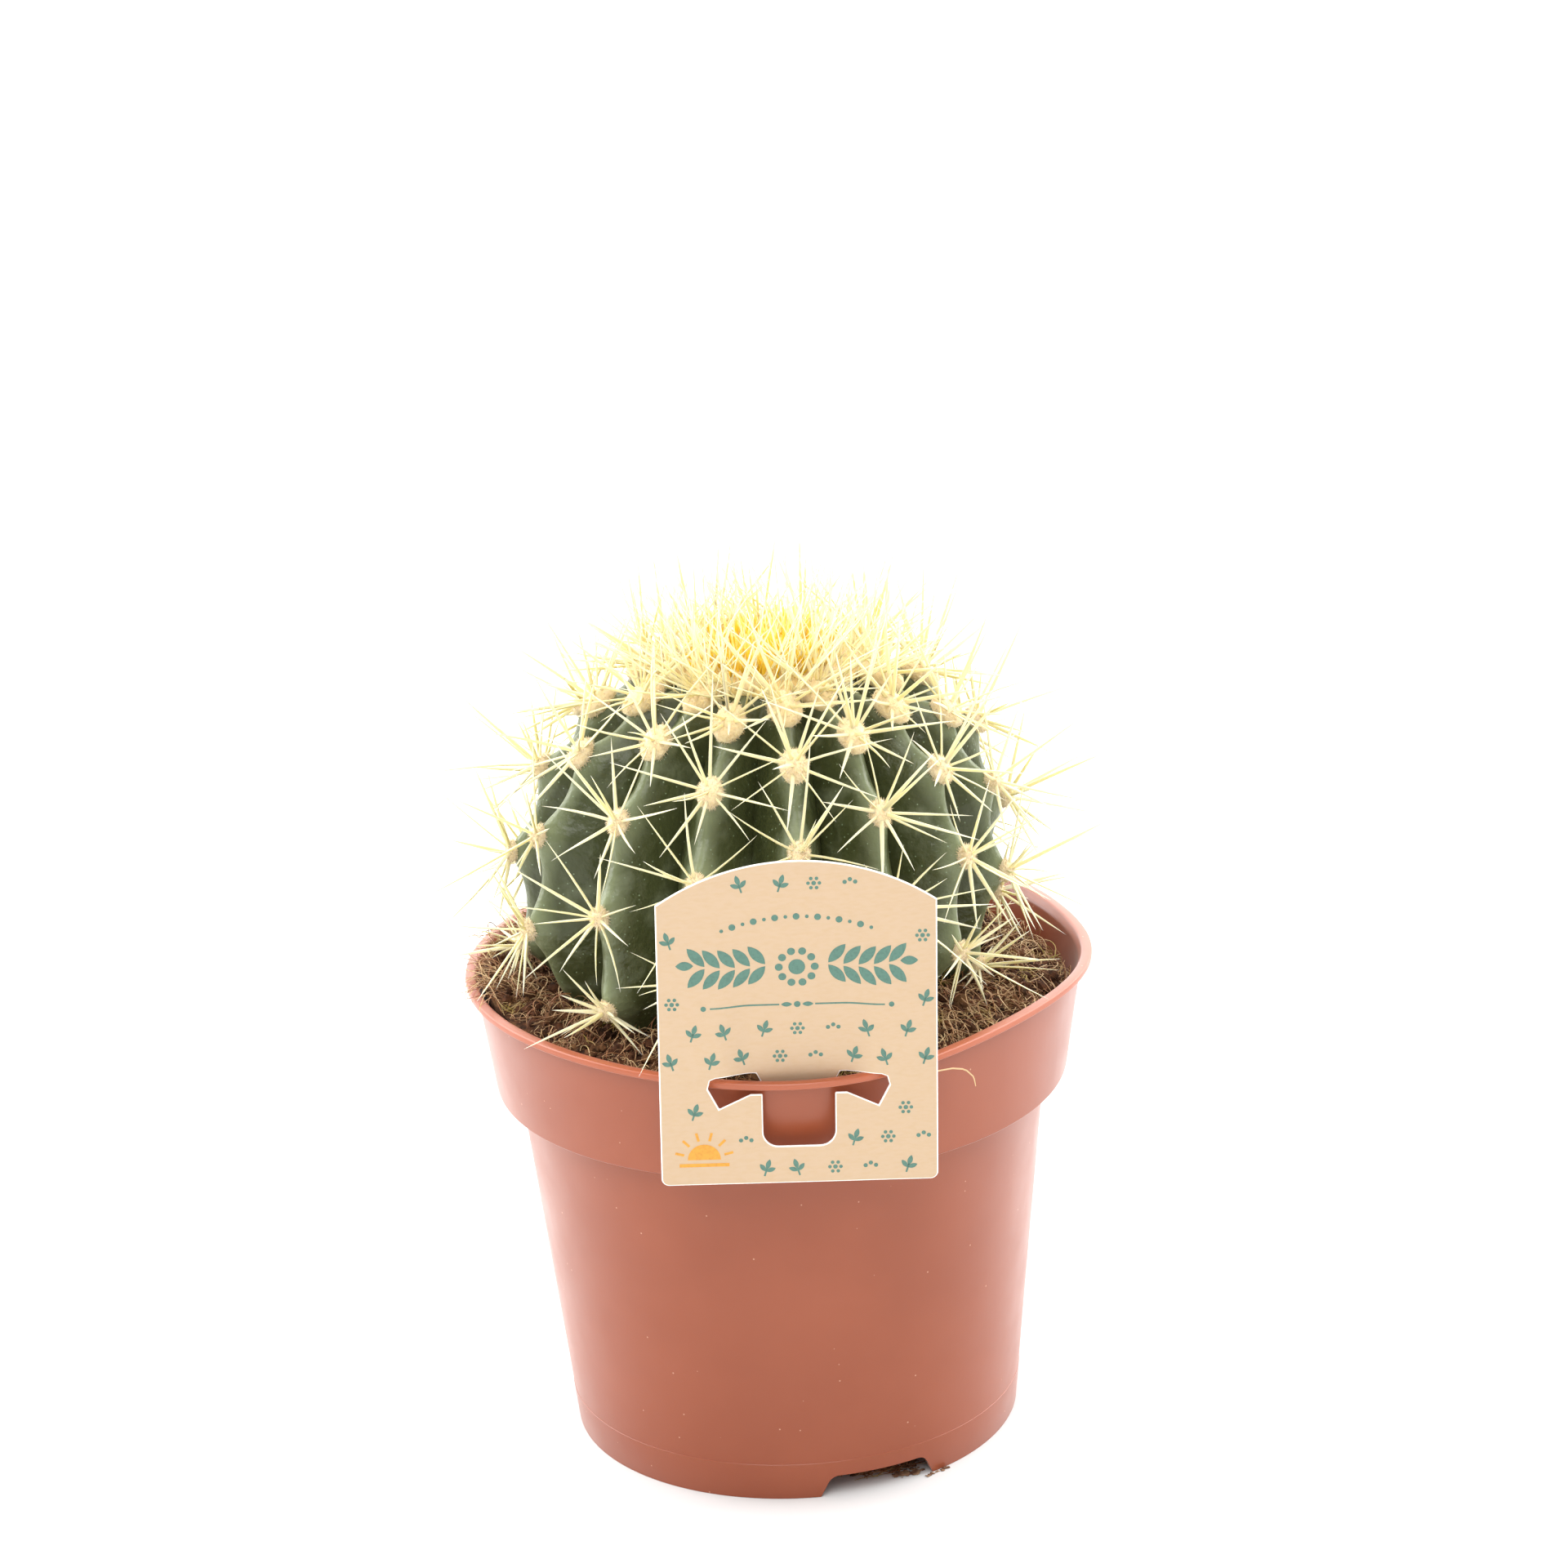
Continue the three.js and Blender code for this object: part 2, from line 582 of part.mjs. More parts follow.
function cardOutline() {
  const half = CARD_WIDTH / 2;
  const rise = CARD_HEIGHT - CARD_SIDE;
  const archRadius = (half * half + rise * rise) / (2 * rise);
  const archHalf = Math.asin(half / archRadius);
  const outline = new THREE.Shape();
  outline.moveTo(-half + CARD_CORNER, 0);
  outline.lineTo(half - CARD_CORNER, 0);
  outline.absarc(half - CARD_CORNER, CARD_CORNER, CARD_CORNER, -Math.PI / 2, 0, false);
  const archPoints = 12;
  for (let i = 0; i <= archPoints; i += 1) {
    const angle = Math.PI / 2 - archHalf + (2 * archHalf * i) / archPoints;
    outline.lineTo(
      archRadius * Math.cos(angle),
      CARD_HEIGHT - archRadius + archRadius * Math.sin(angle),
    );
  }
  outline.absarc(-half + CARD_CORNER, CARD_CORNER, CARD_CORNER, Math.PI, 1.5 * Math.PI, false);
  return outline;
}

// The slot with its flared ends, and the window that the tongue was cut from.
function slotOutline() {
  const side = (sign, points) => points.map(([x, y]) => new THREE.Vector2(sign * x, y));
  const turns = 4;
  const windowCorner = [];
  for (let i = 0; i <= turns; i += 1) {
    const angle = (i / turns) * (Math.PI / 2);
    windowCorner.push([
      WINDOW_HALF - WINDOW_CORNER * (1 - Math.cos(angle)),
      WINDOW_BOTTOM + WINDOW_CORNER * (1 - Math.sin(angle)),
    ]);
  }
  const right = [
    [SLOT_TOP_ENDS[0], SLOT_TOP],
    [SLOT_TOP_ENDS[1] - SLOT_TOP_CORNER[0], SLOT_TOP],
    [SLOT_TOP_ENDS[1], SLOT_TOP - SLOT_TOP_CORNER[1]],
    SLOT_TIP,
    SLOT_LOW,
    SLOT_INNER,
    [WINDOW_HALF, SLOT_INNER[1]],
    ...windowCorner,
  ];
  return new THREE.Shape([...side(1, right), ...side(-1, right.reverse())]);
}

function tongueOutline() {
  const half = WINDOW_HALF - TONGUE_CUT;
  const bottom = WINDOW_BOTTOM + TONGUE_CUT;
  const corner = WINDOW_CORNER - TONGUE_CUT;
  const outline = new THREE.Shape();
  outline.moveTo(SLOT_TOP_ENDS[0], SLOT_TOP + TONGUE_ROOT);
  outline.lineTo(-SLOT_TOP_ENDS[0], SLOT_TOP + TONGUE_ROOT);
  outline.lineTo(-half, SLOT_INNER[1]);
  outline.absarc(-half + corner, bottom + corner, corner, Math.PI, 1.5 * Math.PI, false);
  outline.absarc(half - corner, bottom + corner, corner, 1.5 * Math.PI, 2 * Math.PI, false);
  outline.lineTo(half, SLOT_INNER[1]);
  return outline;
}

// The tongue slants down behind the lip, between the wall and the compost.
function tongueSolid() {
  const depth = CARD_THICKNESS;
  const tongue = new THREE.ExtrudeGeometry(tongueOutline(), { depth, bevelEnabled: false });
  tongue.rotateX(Math.PI / 2).translate(0, depth / 2 + CARD_BEND_BACK, 0);
  return solidOf(reshaped(tongue, (point) => {
    point.y += TONGUE_SLANT * Math.max(0, SLOT_TOP - point.z);
  }));
}

function cardSolid() {
  const card = cardSheet().intersect(throughCard(cardOutline()));
  return card.subtract(throughCard(slotOutline())).add(tongueSolid());
}

// The room that the tongue takes in the compost, open to the pot's wall.
function tonguePocket() {
  const pocket = new THREE.BoxGeometry(...TONGUE_POCKET).rotateZ(CARD_YAW);
  return solidOf(pocket.translate(...TONGUE_POCKET_PLACE));
}

// ---- the object ----

const terracottaPlastic = new THREE.MeshStandardMaterial({ color: '#b86a4e', roughness: 0.42 });
const compost = new THREE.MeshStandardMaterial({ color: '#4a3323', roughness: 1 });
const greenStem = new THREE.MeshStandardMaterial({ color: '#3c5138', roughness: 0.6 });
const kraftCard = new THREE.MeshStandardMaterial({ color: '#e9caa4', roughness: 0.8 });

function named(name, solid, material) {
  const mesh = new THREE.Mesh(geometryOf(solid), material);
  mesh.name = name;
  return mesh;
}

const pottedCactus = new THREE.Group();
pottedCactus.add(named('pot', potSolid(), terracottaPlastic));
pottedCactus.add(named('soil', soilSolid(), compost));
pottedCactus.add(named('cactus', cactusSolid(), greenStem));
const label = named('label_card', cardSolid(), kraftCard);
label.position.copy(CARD_PLACE);
label.rotation.set(0, CARD_ROLL, CARD_YAW, 'ZYX');
pottedCactus.add(label);

export default pottedCactus;
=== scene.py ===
# A young golden barrel cactus in its nursery pot, with compost and a die-cut card label hooked
# on the rim. Metres, +Z up. The origin is the centre of the pot's foot, on the surface that it
# stands on, and -Y is the front, where the label hangs.

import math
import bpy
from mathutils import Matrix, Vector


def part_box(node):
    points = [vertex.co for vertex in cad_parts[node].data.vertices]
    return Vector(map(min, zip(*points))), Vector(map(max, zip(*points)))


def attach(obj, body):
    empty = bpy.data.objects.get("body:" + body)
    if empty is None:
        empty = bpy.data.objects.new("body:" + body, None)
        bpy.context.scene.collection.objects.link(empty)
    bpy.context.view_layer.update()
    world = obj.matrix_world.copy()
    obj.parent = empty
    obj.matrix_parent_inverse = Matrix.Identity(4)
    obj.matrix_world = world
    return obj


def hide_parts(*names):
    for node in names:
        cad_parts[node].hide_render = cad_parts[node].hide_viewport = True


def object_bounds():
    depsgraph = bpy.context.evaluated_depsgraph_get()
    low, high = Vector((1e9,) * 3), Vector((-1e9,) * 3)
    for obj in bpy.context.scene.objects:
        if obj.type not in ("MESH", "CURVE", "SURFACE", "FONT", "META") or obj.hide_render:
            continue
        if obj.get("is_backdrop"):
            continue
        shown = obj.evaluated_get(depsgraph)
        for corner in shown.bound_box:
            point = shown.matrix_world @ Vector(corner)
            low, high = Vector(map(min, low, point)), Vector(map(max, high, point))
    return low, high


bl_info = {
    "name": "Potted Round Cactus",
    "version": (1, 0, 0),
    "blender": (4, 5, 0),
    "location": "View3D > Sidebar > Cactus",
    "description": "Builds a barrel cactus in a nursery pot with compost and a card label",
    "category": "Add Mesh",
}

import bmesh
import bpy
import numpy as np
from bpy.props import FloatProperty, FloatVectorProperty, IntProperty, PointerProperty
from bpy.types import Operator, Panel, PropertyGroup
from mathutils import Matrix, Vector, noise

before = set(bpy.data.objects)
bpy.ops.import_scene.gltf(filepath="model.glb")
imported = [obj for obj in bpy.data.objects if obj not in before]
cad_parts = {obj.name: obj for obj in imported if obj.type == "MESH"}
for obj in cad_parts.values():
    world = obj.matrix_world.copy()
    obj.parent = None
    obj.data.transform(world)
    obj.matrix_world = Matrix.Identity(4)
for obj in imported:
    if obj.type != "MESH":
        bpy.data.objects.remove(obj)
CAD_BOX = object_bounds()

MM = 0.001
_, POT_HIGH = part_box("pot")
SPINES_LOW, SPINES_HIGH = (np.array(corner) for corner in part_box("cactus"))

# Seeds of the random draws. Others give another plant of the same kind.
COMPOST_SEED = 11
FELT_SEED = 23
SPINE_SEED = 5
WOOL_SEED = 31
CROWN_SEED = 37

# ---- pot ----

POT_STEPS = 192  # flats round the pot
LIP_ROUND = 0.45 * MM
LIP_PAINTED_GLOW = (1.6 * MM, 1.1 * MM)  # depths under the rim between which the plastic turns to the lip's warmer colour, a painted glow of light through the thin lip
EDGE_ROUND = 0.3 * MM
FOOT_RING_WIDTH = 1.3 * MM
FOOT_LINE_HEIGHT = 7.5 * MM  # the mould's parting line
FOOT_LINE_STEP = 0.07 * MM
FLOOR_UNDERSIDE = 4.4 * MM
FLOOR_THICKNESS = 1.2 * MM
NOTCH_DIRECTIONS = [math.radians(turn) for turn in (-69.8, 50.2, 170.2)]
NOTCH_WIDTH = (23 * MM, 19 * MM)  # at the surface, and at its top
NOTCH_ROUND = 1.6 * MM
NOTCH_REACH = 6 * MM  # of its cutter, inwards and outwards from the foot's outside
DRAIN_RADIUS = 3.5 * MM
DRAIN_CIRCLE = 32 * MM
DRAIN_REACH = 8 * MM  # height of its cutter
# The thin rim is squeezed out of round: direction in degrees, push, and width in degrees.
RIM_PUSHES = [
    (-135, -2.6 * MM, 24),
    (-82, 2.2 * MM, 16),
    (-42, -3.9 * MM, 21),
    (-2, 1.0 * MM, 14),
    (54, 3.4 * MM, 19),
    (140, 1.2 * MM, 24),
]
UNPUSHED = 20 * MM  # nothing nearer than this to the axis is pushed

# ---- compost ----

COMPOST_GAP = 0.6 * MM  # to the pot's wall
COMPOST_RINGS = 0.7 * MM  # between the rings of points of its surface
COMPOST_CORE = 26 * MM  # the stem covers the surface within this
MOUND_RADIUS = 40 * MM  # the surface slopes from here to the wall
HEAP_SIZE = 9 * MM
CLOD_SIZE = 3.2 * MM
CLOD_HEIGHT = 0.6  # as a share of the heaps' height
# Height of the compost at the pot's wall, by direction in degrees.
EDGE_DIRECTIONS = [-180, -135, -90, -45, 0, 60, 120, 180]
EDGE_HEIGHTS = [93.2 * MM, 89.5 * MM, 86.5 * MM, 85 * MM, 84.5 * MM, 82.5 * MM, 89.5 * MM, 93.2 * MM]
OPEN_GROUND = (33 * MM, 54.5 * MM)  # radii between which crumbs lie
# Half of the fibres lie in tangles, the others anywhere.
TANGLED_GROUND = (33 * MM, 55 * MM)
TANGLED_SHARE = 0.5
TANGLE_SIZE = 2 * MM
CRUMB_SIZE = 1.5 * MM  # of the largest
FIBRE_FOOTING = 55.2 * MM  # beyond this, fibres lie as high as the compost does at it
FIBRE_SINK = 0.1 * MM
FIBRE_WALL_GAP = 0.2 * MM
FIBRE_RADII = (0.8 * MM, 3.2 * MM)  # of the loops that short fibres curl in
FIBRE_WIDTHS = (0.05 * MM, 0.14 * MM)  # half widths, as are the next ones
WISP_RADII = (0.5 * MM, 2.0 * MM)
WISP_WIDTHS = (0.04 * MM, 0.09 * MM)
LOOP_SPANS = (0.8, 2.9)  # how much of a turn a short fibre makes, in radians
CURL_REACHES = (5 * MM, 13 * MM)
CURL_TURN = 3.4  # usual turn of a long fibre along its way, in radians
CURL_LIFT = 4.6 * MM  # highest that one arches
CURL_WIDTHS = (0.05 * MM, 0.11 * MM)
# Stray fibres cross the lip at the left, where the compost is heaped.
STRAY_DIRECTIONS = (134, 194)  # in degrees
STRAY_STARTS = (49 * MM, 56 * MM)  # radii
STRAY_ENDS = (57.5 * MM, 62 * MM)
STRAY_CREST = 57.5 * MM  # radius at which they are over the lip
STRAY_GAP = 0.3 * MM  # over the lip
STRAY_RISE = 2.2 * MM  # most that they rise above that
STRAY_WIDTHS = (0.06 * MM, 0.12 * MM)
# What fell out under the front notch: share of the flakes, directions in degrees, radii and
# largest size. It lies deep under the pot, at the notch's right end, and just outside.
LITTER_PLACES = [
    (0.5, (-82, -50), (31 * MM, 37.5 * MM), 0.8 * MM),
    (0.3, (-64, -55.5), (36 * MM, 42 * MM), 0.6 * MM),
    (0.2, (-57, -50), (43.5 * MM, 44.2 * MM), 0.35 * MM),
]
FLAKE_STRETCH = [1.3, 1.3, 0.3]  # flakes are flat
FLAKE_REST = 0.46  # height of a flake's middle, as a share of its size
# Short fibres that fell out with the flakes.
TWIG_DIRECTIONS = (-76, -56)
TWIG_RADII = (34 * MM, 40 * MM)
TWIG_REACHES = (2 * MM, 5 * MM)
TWIG_LIFTS = (0.1 * MM, 0.6 * MM)
TWIG_REST = 0.15 * MM
TWIG_LIMIT = 41.6 * MM  # they stay behind the foot's outside
# A long fibre that curls out from behind the label over the collar: its points, in millimetres.
LOOSE_FIBRE = [
    (26.5, -55.2, 91.0),
    (30.8, -52.6, 90.6),
    (33.4, -50.9, 89.6),
    (34.9, -49.9, 87.6),
    (35.2, -49.6, 85.6),
]
LOOSE_FIBRE_WIDTH = 0.17 * MM
SHORT_FIBRE_POINTS = 6
LONG_FIBRE_POINTS = 12

# ---- cactus ----

OUTLINE_STEPS = 400
SQUARENESS = 2.17  # exponent of the stem's outline: 2 is an ellipse
FURROW_ROUNDING = 0.2  # of the crest, as a share of half a rib's width
FURROWS_BEGIN = (12 * MM, 32 * MM)  # distances from the apex between which they deepen
FURROWS_END = (80 * MM, 88 * MM)  # heights between which they run out in the compost
FURROW_POWER = 0.6  # of the squared distance from a crest, with which a furrow deepens
TUBERCLE_LENGTH = 4.6 * MM
# Each rib: direction from the front in degrees, and the phase of its areoles in steps.
RIBS = [
    (-89, 0.55),
    (-67, 0.05),
    (-39.3, 0.6),
    (-15.8, 0.14),
    (7.6, 0.84),
    (29.2, 0.55),
    (52.9, 0.3),
    (75.5, 0.8),
    (98, 0.35),
    (119.5, 0.85),
    (141, 0.4),
    (162.5, 0.9),
    (184, 0.45),
    (205.5, 0.95),
    (227, 0.5),
    (248.5, 0.0),
]
COLUMNS_PER_RIB = 20
ROWS_ABOVE = 132  # of the stem's points, over the compost
ROWS_BELOW = 14
STEM_SINK = 6 * MM  # the rows over the compost begin this deep in it
SKIN_LUMPS = 0.004  # as a share of the distance from the origin
SKIN_LUMP_SIZE = 9 * MM
CREST_PAINTED_HIGHLIGHT = 0.82  # paleness of a crest between its areoles: painted highlight
TUBERCLE_PAINTED_HIGHLIGHT = 0.28  # painted highlight added on the swelling at each areole
AREOLE_FIRST_STEP = 11 * MM  # spacing along a rib at the apex
AREOLE_GROWTH = 0.1  # each step's growth
AREOLE_STEPS = 12
AREOLE_RANGE = (17 * MM, 88 * MM)  # along the rib, from the apex
YOUNG_AREOLES = (6 * MM, 17 * MM)  # those whose felt runs into the crown's wool
FELT_THICKNESS = 1.8 * MM
FELT_FILL = 0.95  # size of a tuft's lump, as a share of the tuft
HAIR_ROOTS = 0.85  # depth at which hairs begin, as a share of a tuft's size
HAIR_MESS = 0.55  # how much hairs lean at random, to 1 for straight out
HAIR_LENGTHS = (0.6, 1.3)  # as shares of the usual length
HAIR_RADIUS = 0.1 * MM
FELT_HAIR = 0.75 * MM
WOOL_HAIR = 0.9 * MM
YOUNG = (15 * MM, 45 * MM)  # distances from the apex between which the gold fades
SPINE_ROOT = 0.4 * MM  # how far out of the skin a spine begins, inside the felt
SPINE_CLEARANCE = 1 * MM
SPINE_BEND_STEP = 0.08  # how far a spine turns away at each try
SPINE_BENDS = 120  # tries at most
# What spines keep clear of round the card: behind its bend, to each side, and up from its foot.
CARD_BACK = 0.5 * MM
CARD_HALF = 25 * MM
CARD_REACH = 63 * MM
# Distances from the apex between which a fan's spines get fewer, flatter and shorter, and
# between which they get shorter again.
YOUNG_FAN = (15 * MM, 50 * MM)
LOW_FAN = (66 * MM, 82 * MM)
RADIAL_JITTER = 0.22  # as a share of the angle between two radial spines
RADIAL_LIFTS = (8, 30)  # degrees out of the skin
YOUNG_LIFT = 14  # degrees more near the apex
NEEDLE_SHARES = np.array([0, 0.3, 0.55, 0.76, 0.92, 1])  # rings of a spine, from root to tip
NEEDLE_SIDES = 5
NEEDLE_BOW = 0.018  # as a share of its length
NEEDLE_TIP = 0.04  # half width of the tip, as a share of the root's
NEEDLE_FLATNESS = 0.6
GOLDEN_TURN = math.radians(137.508)
CROWN_HOLLOW = 0.42  # the pale spines begin at this share of the crown's radius
CROWN_ROOT = 0.5 * MM  # how deep in the skin the crown's spines begin
CROWN_SPREAD = 12  # how much further they lean outwards for each metre from the apex
OUTER_WOOL = [1.55, 1.0, 1.55]  # size of the paler wool round the golden wool
OUTER_WOOL_DROP = 2.2 * MM

# ---- label ----

CARD_PLACE = Vector((2.5 * MM, -59.65 * MM, 72.75 * MM))  # middle of its lower edge
CARD_ROLL = math.radians(1.67)
CARD_YAW = math.radians(1.2)
CARD_CORNER = 1.4 * MM
SLOT_TIP = (16.3 * MM, 18.7 * MM)
SLOT_LOW = (14.3 * MM, 14.75 * MM)
SLOT_INNER = (8.6 * MM, 17.6 * MM)
SLOT_TOP = 20.65 * MM
SLOT_TOP_ENDS = (7.6 * MM, 15.9 * MM)
SLOT_TOP_CORNER = (1 * MM, 0.4 * MM)
WINDOW_HALF = 6.5 * MM
WINDOW_BOTTOM = 7.35 * MM
WINDOW_CORNER = 2.8 * MM
TONGUE_CUT = 0.35 * MM
TONGUE_SLANT = 0.25
BEND_SPAN = (8.2 * MM, 15.4 * MM)
BEND_BACK = 2.1 * MM
BEND_FORWARD = 0.3 * MM
BEND_ROWS = (-6 * MM, 17.9 * MM, 19.6 * MM)  # starts, is widest under the slot, and over it
BEND_COLUMNS = np.arange(-16, 16.1, 0.8) * MM  # where the card is sliced, so that it can bend
BEND_PITCH = 1.5 * MM  # between its level slices
# The print: motifs in staggered rows, a garland, and a small sun at the lower left.
FILM = 0.03 * MM  # half of the ink's thickness
INK_DEPTH = 0.82  # brightness of the ink where it sank in, as a share
MOTIF_LEVELS = [level * MM for level in (3, 8.6, 14.2, 24, 29.4, 35.2, 41.2, 47.2, 53, 57.6)]
MOTIF_PITCH = 6.4 * MM
MOTIF_MARGIN = (1.8 * MM, 3 * MM)  # at the card's sides and under its arch
GARLAND_CENTRE = np.array([0, 41.6]) * MM
GARLAND_RULE = 7.4 * MM  # below its centre
SUN_PLACE = np.array([-17.2, 5.0]) * MM
SUN_RADIUS = 3.0 * MM

# ---- stage ----

CLOUD_SIZE = 0.4  # of the floor's unevenness
CAMERA_PLACE = Vector((2.977, -803.0, 406.5)) * MM
CAMERA_PITCH = math.radians(-19.112)
CAMERA_ROLL = math.radians(-2.708)
CAMERA_SENSOR = 36  # its width in millimetres, as its focal length is
CAMERA_LENS = 103.125
CAMERA_CLIP = (0.01, 50)
LIT_POINT = Vector((0, 0, 90 * MM))
KEY_PLACE = Vector((-0.15, -1.2, 1.6))
KEY_SIZE = 1.2
SIDE_PLACE = Vector((1.3, 0.5, 0.8))  # the other one is its mirror image
SIDE_SIZE = 1.3


# ---- settings ----


def linear(hex_colour):
    """An sRGB hex colour as linear RGBA."""
    channels = [int(hex_colour[i : i + 2], 16) / 255 for i in (1, 3, 5)]
    return tuple(c / 12.92 if c <= 0.04045 else ((c + 0.055) / 1.055) ** 2.4 for c in channels) + (1.0,)


def length(name, description, value):
    """A length that can be changed in the panel, in metres."""
    return FloatProperty(name=name, description=description, default=value, unit="LENGTH", precision=5)


def colour(name, description, hex_colour):
    """A colour that can be changed in the panel."""
    return FloatVectorProperty(
        name=name,
        description=description,
        default=linear(hex_colour),
        subtype="COLOR",
        size=4,
        min=0,
        max=1,
    )


class PotSettings(PropertyGroup):
    """Sizes and colours of the plastic pot"""

    height: length("Height", "Height of the pot over the surface it stands on", POT_HIGH.z)
    wall: length("Wall", "Thickness of the moulded wall", 0.9 * MM)
    lip_radius: length("Lip radius", "Outside of the rolled lip", 60 * MM)
    lip_width: length("Lip width", "Width of the lip from above", 2.0 * MM)
    lip_height: length("Lip height", "Height of the lip's outer face", 1.3 * MM)
    collar_height: length("Collar underside", "Height of the collar's step", 71.15 * MM)
    collar_foot: length("Collar foot radius", "Outside of the collar at its step", 55 * MM)
    collar_top: length("Collar top radius", "Outside of the collar under the lip", 58.1 * MM)
    body_top: length("Body radius", "Outside of the body under the collar", 50.75 * MM)
    foot: length("Foot radius", "Outside of the foot", 43.3 * MM)
    plastic: colour("Plastic", "Terracotta coloured plastic of the wall", "#8b401e")
    # Painted glow: the lip's warmer colour stands in for light that shines through the thin plastic.
    lip: colour("Lip", "The lip, where light comes through", "#a85634")


class CompostSettings(PropertyGroup):
    """The compost's level, its colours, and how much lies loose on it"""

    stem_height: length("Height at the stem", "Height of the surface round the stem", 91 * MM)
    roughness: length("Roughness", "Height of the surface's lumps", 1.1 * MM)
    crumbs: IntProperty(name="Crumbs", description="Loose crumbs of peat", default=2200, min=0)
    fibres: IntProperty(name="Fibres", description="Short brown coir fibres", default=6000, min=0)
    wisps: IntProperty(name="Wisps", description="Fine pale fluff on the crumbs", default=7400, min=0)
    curls: IntProperty(name="Curls", description="Long pale coir fibres", default=900, min=0)
    knots: IntProperty(name="Knots", description="Tangles of fibres", default=150, min=1)
    stray_fibres: IntProperty(name="Stray fibres", description="Fibres over the lip", default=100, min=0)
    litter: IntProperty(name="Litter", description="Flakes under the pot", default=220, min=0)
    peat: colour("Peat", "Moist dark peat", "#5d3924")
    coir: colour("Coir", "Dry pale coir fibre", "#d0b285")


class StemSettings(PropertyGroup):
    """Sizes and colours of the ribbed stem"""

    radius: length("Radius", "Over the rib crests, between areoles", 44.7 * MM)
    above: length("Height above", "Crown over the widest level", 40 * MM)
    below: length("Depth below", "Root crown under the widest level", 38.7 * MM)
    centre_x: length("Centre", "Sideways place of the widest level", -2.1 * MM)
    centre_height: length("Centre height", "Height of the widest level", 113.3 * MM)
    lean: FloatProperty(name="Lean", description="Sideways lean per height", default=0.079)
    furrow: FloatProperty(
        name="Furrow depth",
        description="Depth of the furrows as a share of the stem's radius",
        default=0.235,
        subtype="FACTOR",
    )
    tubercle: length("Tubercle", "Swelling of a rib under each areole", 2.7 * MM)
    skin: colour("Skin", "Dark green cuticle", "#3f4427")
    # Painted highlight: the crests' paler green stands in for light caught on them.
    crest: colour("Crest", "Paler green on the crests of the ribs", "#88916d")
    bloom: colour("Bloom", "Whitish wax on the skin", "#929a7e")


class SpineSettings(PropertyGroup):
    """Sizes, numbers and colours of spines and felt"""

    half_width: length("Half width", "Half of a radial spine's width at its root", 0.4 * MM)
    radials: IntProperty(name="Radials", description="Radial spines of an areole", default=9, min=3)
    centrals: IntProperty(name="Centrals", description="Central spines of an areole", default=2, min=0)
    radial_short: length("Shortest radial", "Length of the shortest radial spines", 12.5 * MM)
    radial_long: length("Longest radial", "Length of the longest radial spines", 19.5 * MM)
    central_short: length("Shortest central", "Length of the shortest central spines", 17 * MM)
    central_long: length("Longest central", "Length of the longest central spines", 25 * MM)
    felt_width: length("Felt half width", "Half width of an areole's felt", 2.35 * MM)
    felt_length: length("Felt half length", "Half length of an areole's felt", 2.9 * MM)
    felt_hairs: IntProperty(name="Felt hairs", description="Hairs of an areole", default=400, min=0)
    pale: colour("Pale", "Ripe spines and all tips", "#d6cda8")
    golden: colour("Golden", "Roots of young spines", "#edc53c")
    felt: colour("Felt", "Areole felt", "#efdab0")


class CrownSettings(PropertyGroup):
    """Sizes and numbers of the crown's wool and young spines"""

    radius: length("Radius", "Reach of the pale young spines round the apex", 20 * MM)
    spines: IntProperty(name="Spines", description="Pale young spines of the crown", default=260, min=0)
    short: length("Shortest", "Length of the shortest pale spines", 18 * MM)
    long: length("Longest", "Length of the longest pale spines", 31 * MM)
    tuft_radius: length("Tuft radius", "Reach of the newest, golden spines", 12.5 * MM)
    tuft_spines: IntProperty(name="Tuft spines", description="Golden spines", default=480, min=0)
    tuft_short: length("Shortest in the tuft", "Length of the shortest golden spines", 5 * MM)
    tuft_long: length("Longest in the tuft", "Length of the longest golden spines", 12 * MM)
    wool_width: length("Wool half width", "Half width of the crown's wool", 12 * MM)
    wool_height: length("Wool height", "Height of the crown's wool", 3.8 * MM)
    wool_hairs: IntProperty(name="Wool hairs", description="Hairs of each tuft", default=420, min=0)


class LabelSettings(PropertyGroup):
    """Sizes and colours of the card label"""

    width: length("Width", "Width of the card", 50 * MM)
    side: length("Side height", "Height of the straight sides", 54 * MM)
    height: length("Height", "Height over the arched top", 61.9 * MM)
    thickness: length("Thickness", "Thickness of the card", 0.5 * MM)
    edge: length("Cut edge", "Width of the white that shows round each cut", 0.24 * MM)
    face: colour("Face", "Kraft coloured print of the face", "#c2a88a")
    core: colour("Core", "White board, at the cuts and on the back", "#f4f1ec")
    ink: colour("Ink", "Ink of the small motifs", "#53796b")
    accent: colour("Accent", "Ink of the small sun", "#d89734")


class StageSettings(PropertyGroup):
    """Size and brightness of the studio"""

    floor_size: length("Floor", "Side of the square floor", 12.0)
    floor: colour("Floor colour", "Pale matt floor", "#d2d2d2")
    behind: FloatProperty(name="Behind", description="Brightness behind the plant", default=3.5)
    before: FloatProperty(name="Before", description="Brightness before the plant", default=0.7)
    key: FloatProperty(name="Key", description="Power of the front light", default=22, unit="POWER")
    sides: FloatProperty(name="Sides", description="Power of each side light", default=17, unit="POWER")


# ---- small helpers ----


def smooth(low, high, value):
    """0 below low, 1 above high, and a smooth step between them."""
    share = np.clip((np.asarray(value, float) - low) / (high - low), 0, 1)
    return share * share * (3 - 2 * share)


def unit(vectors):
    """Vectors scaled to length 1."""
    return vectors / np.linalg.norm(vectors, axis=-1, keepdims=True)


def lumpy(points, size, seed):
    """Smooth noise between -1 and 1 at each point, with lumps of about the given size."""
    return np.array([noise.noise(Vector(point) / size + Vector((seed, 0, 0))) for point in points])


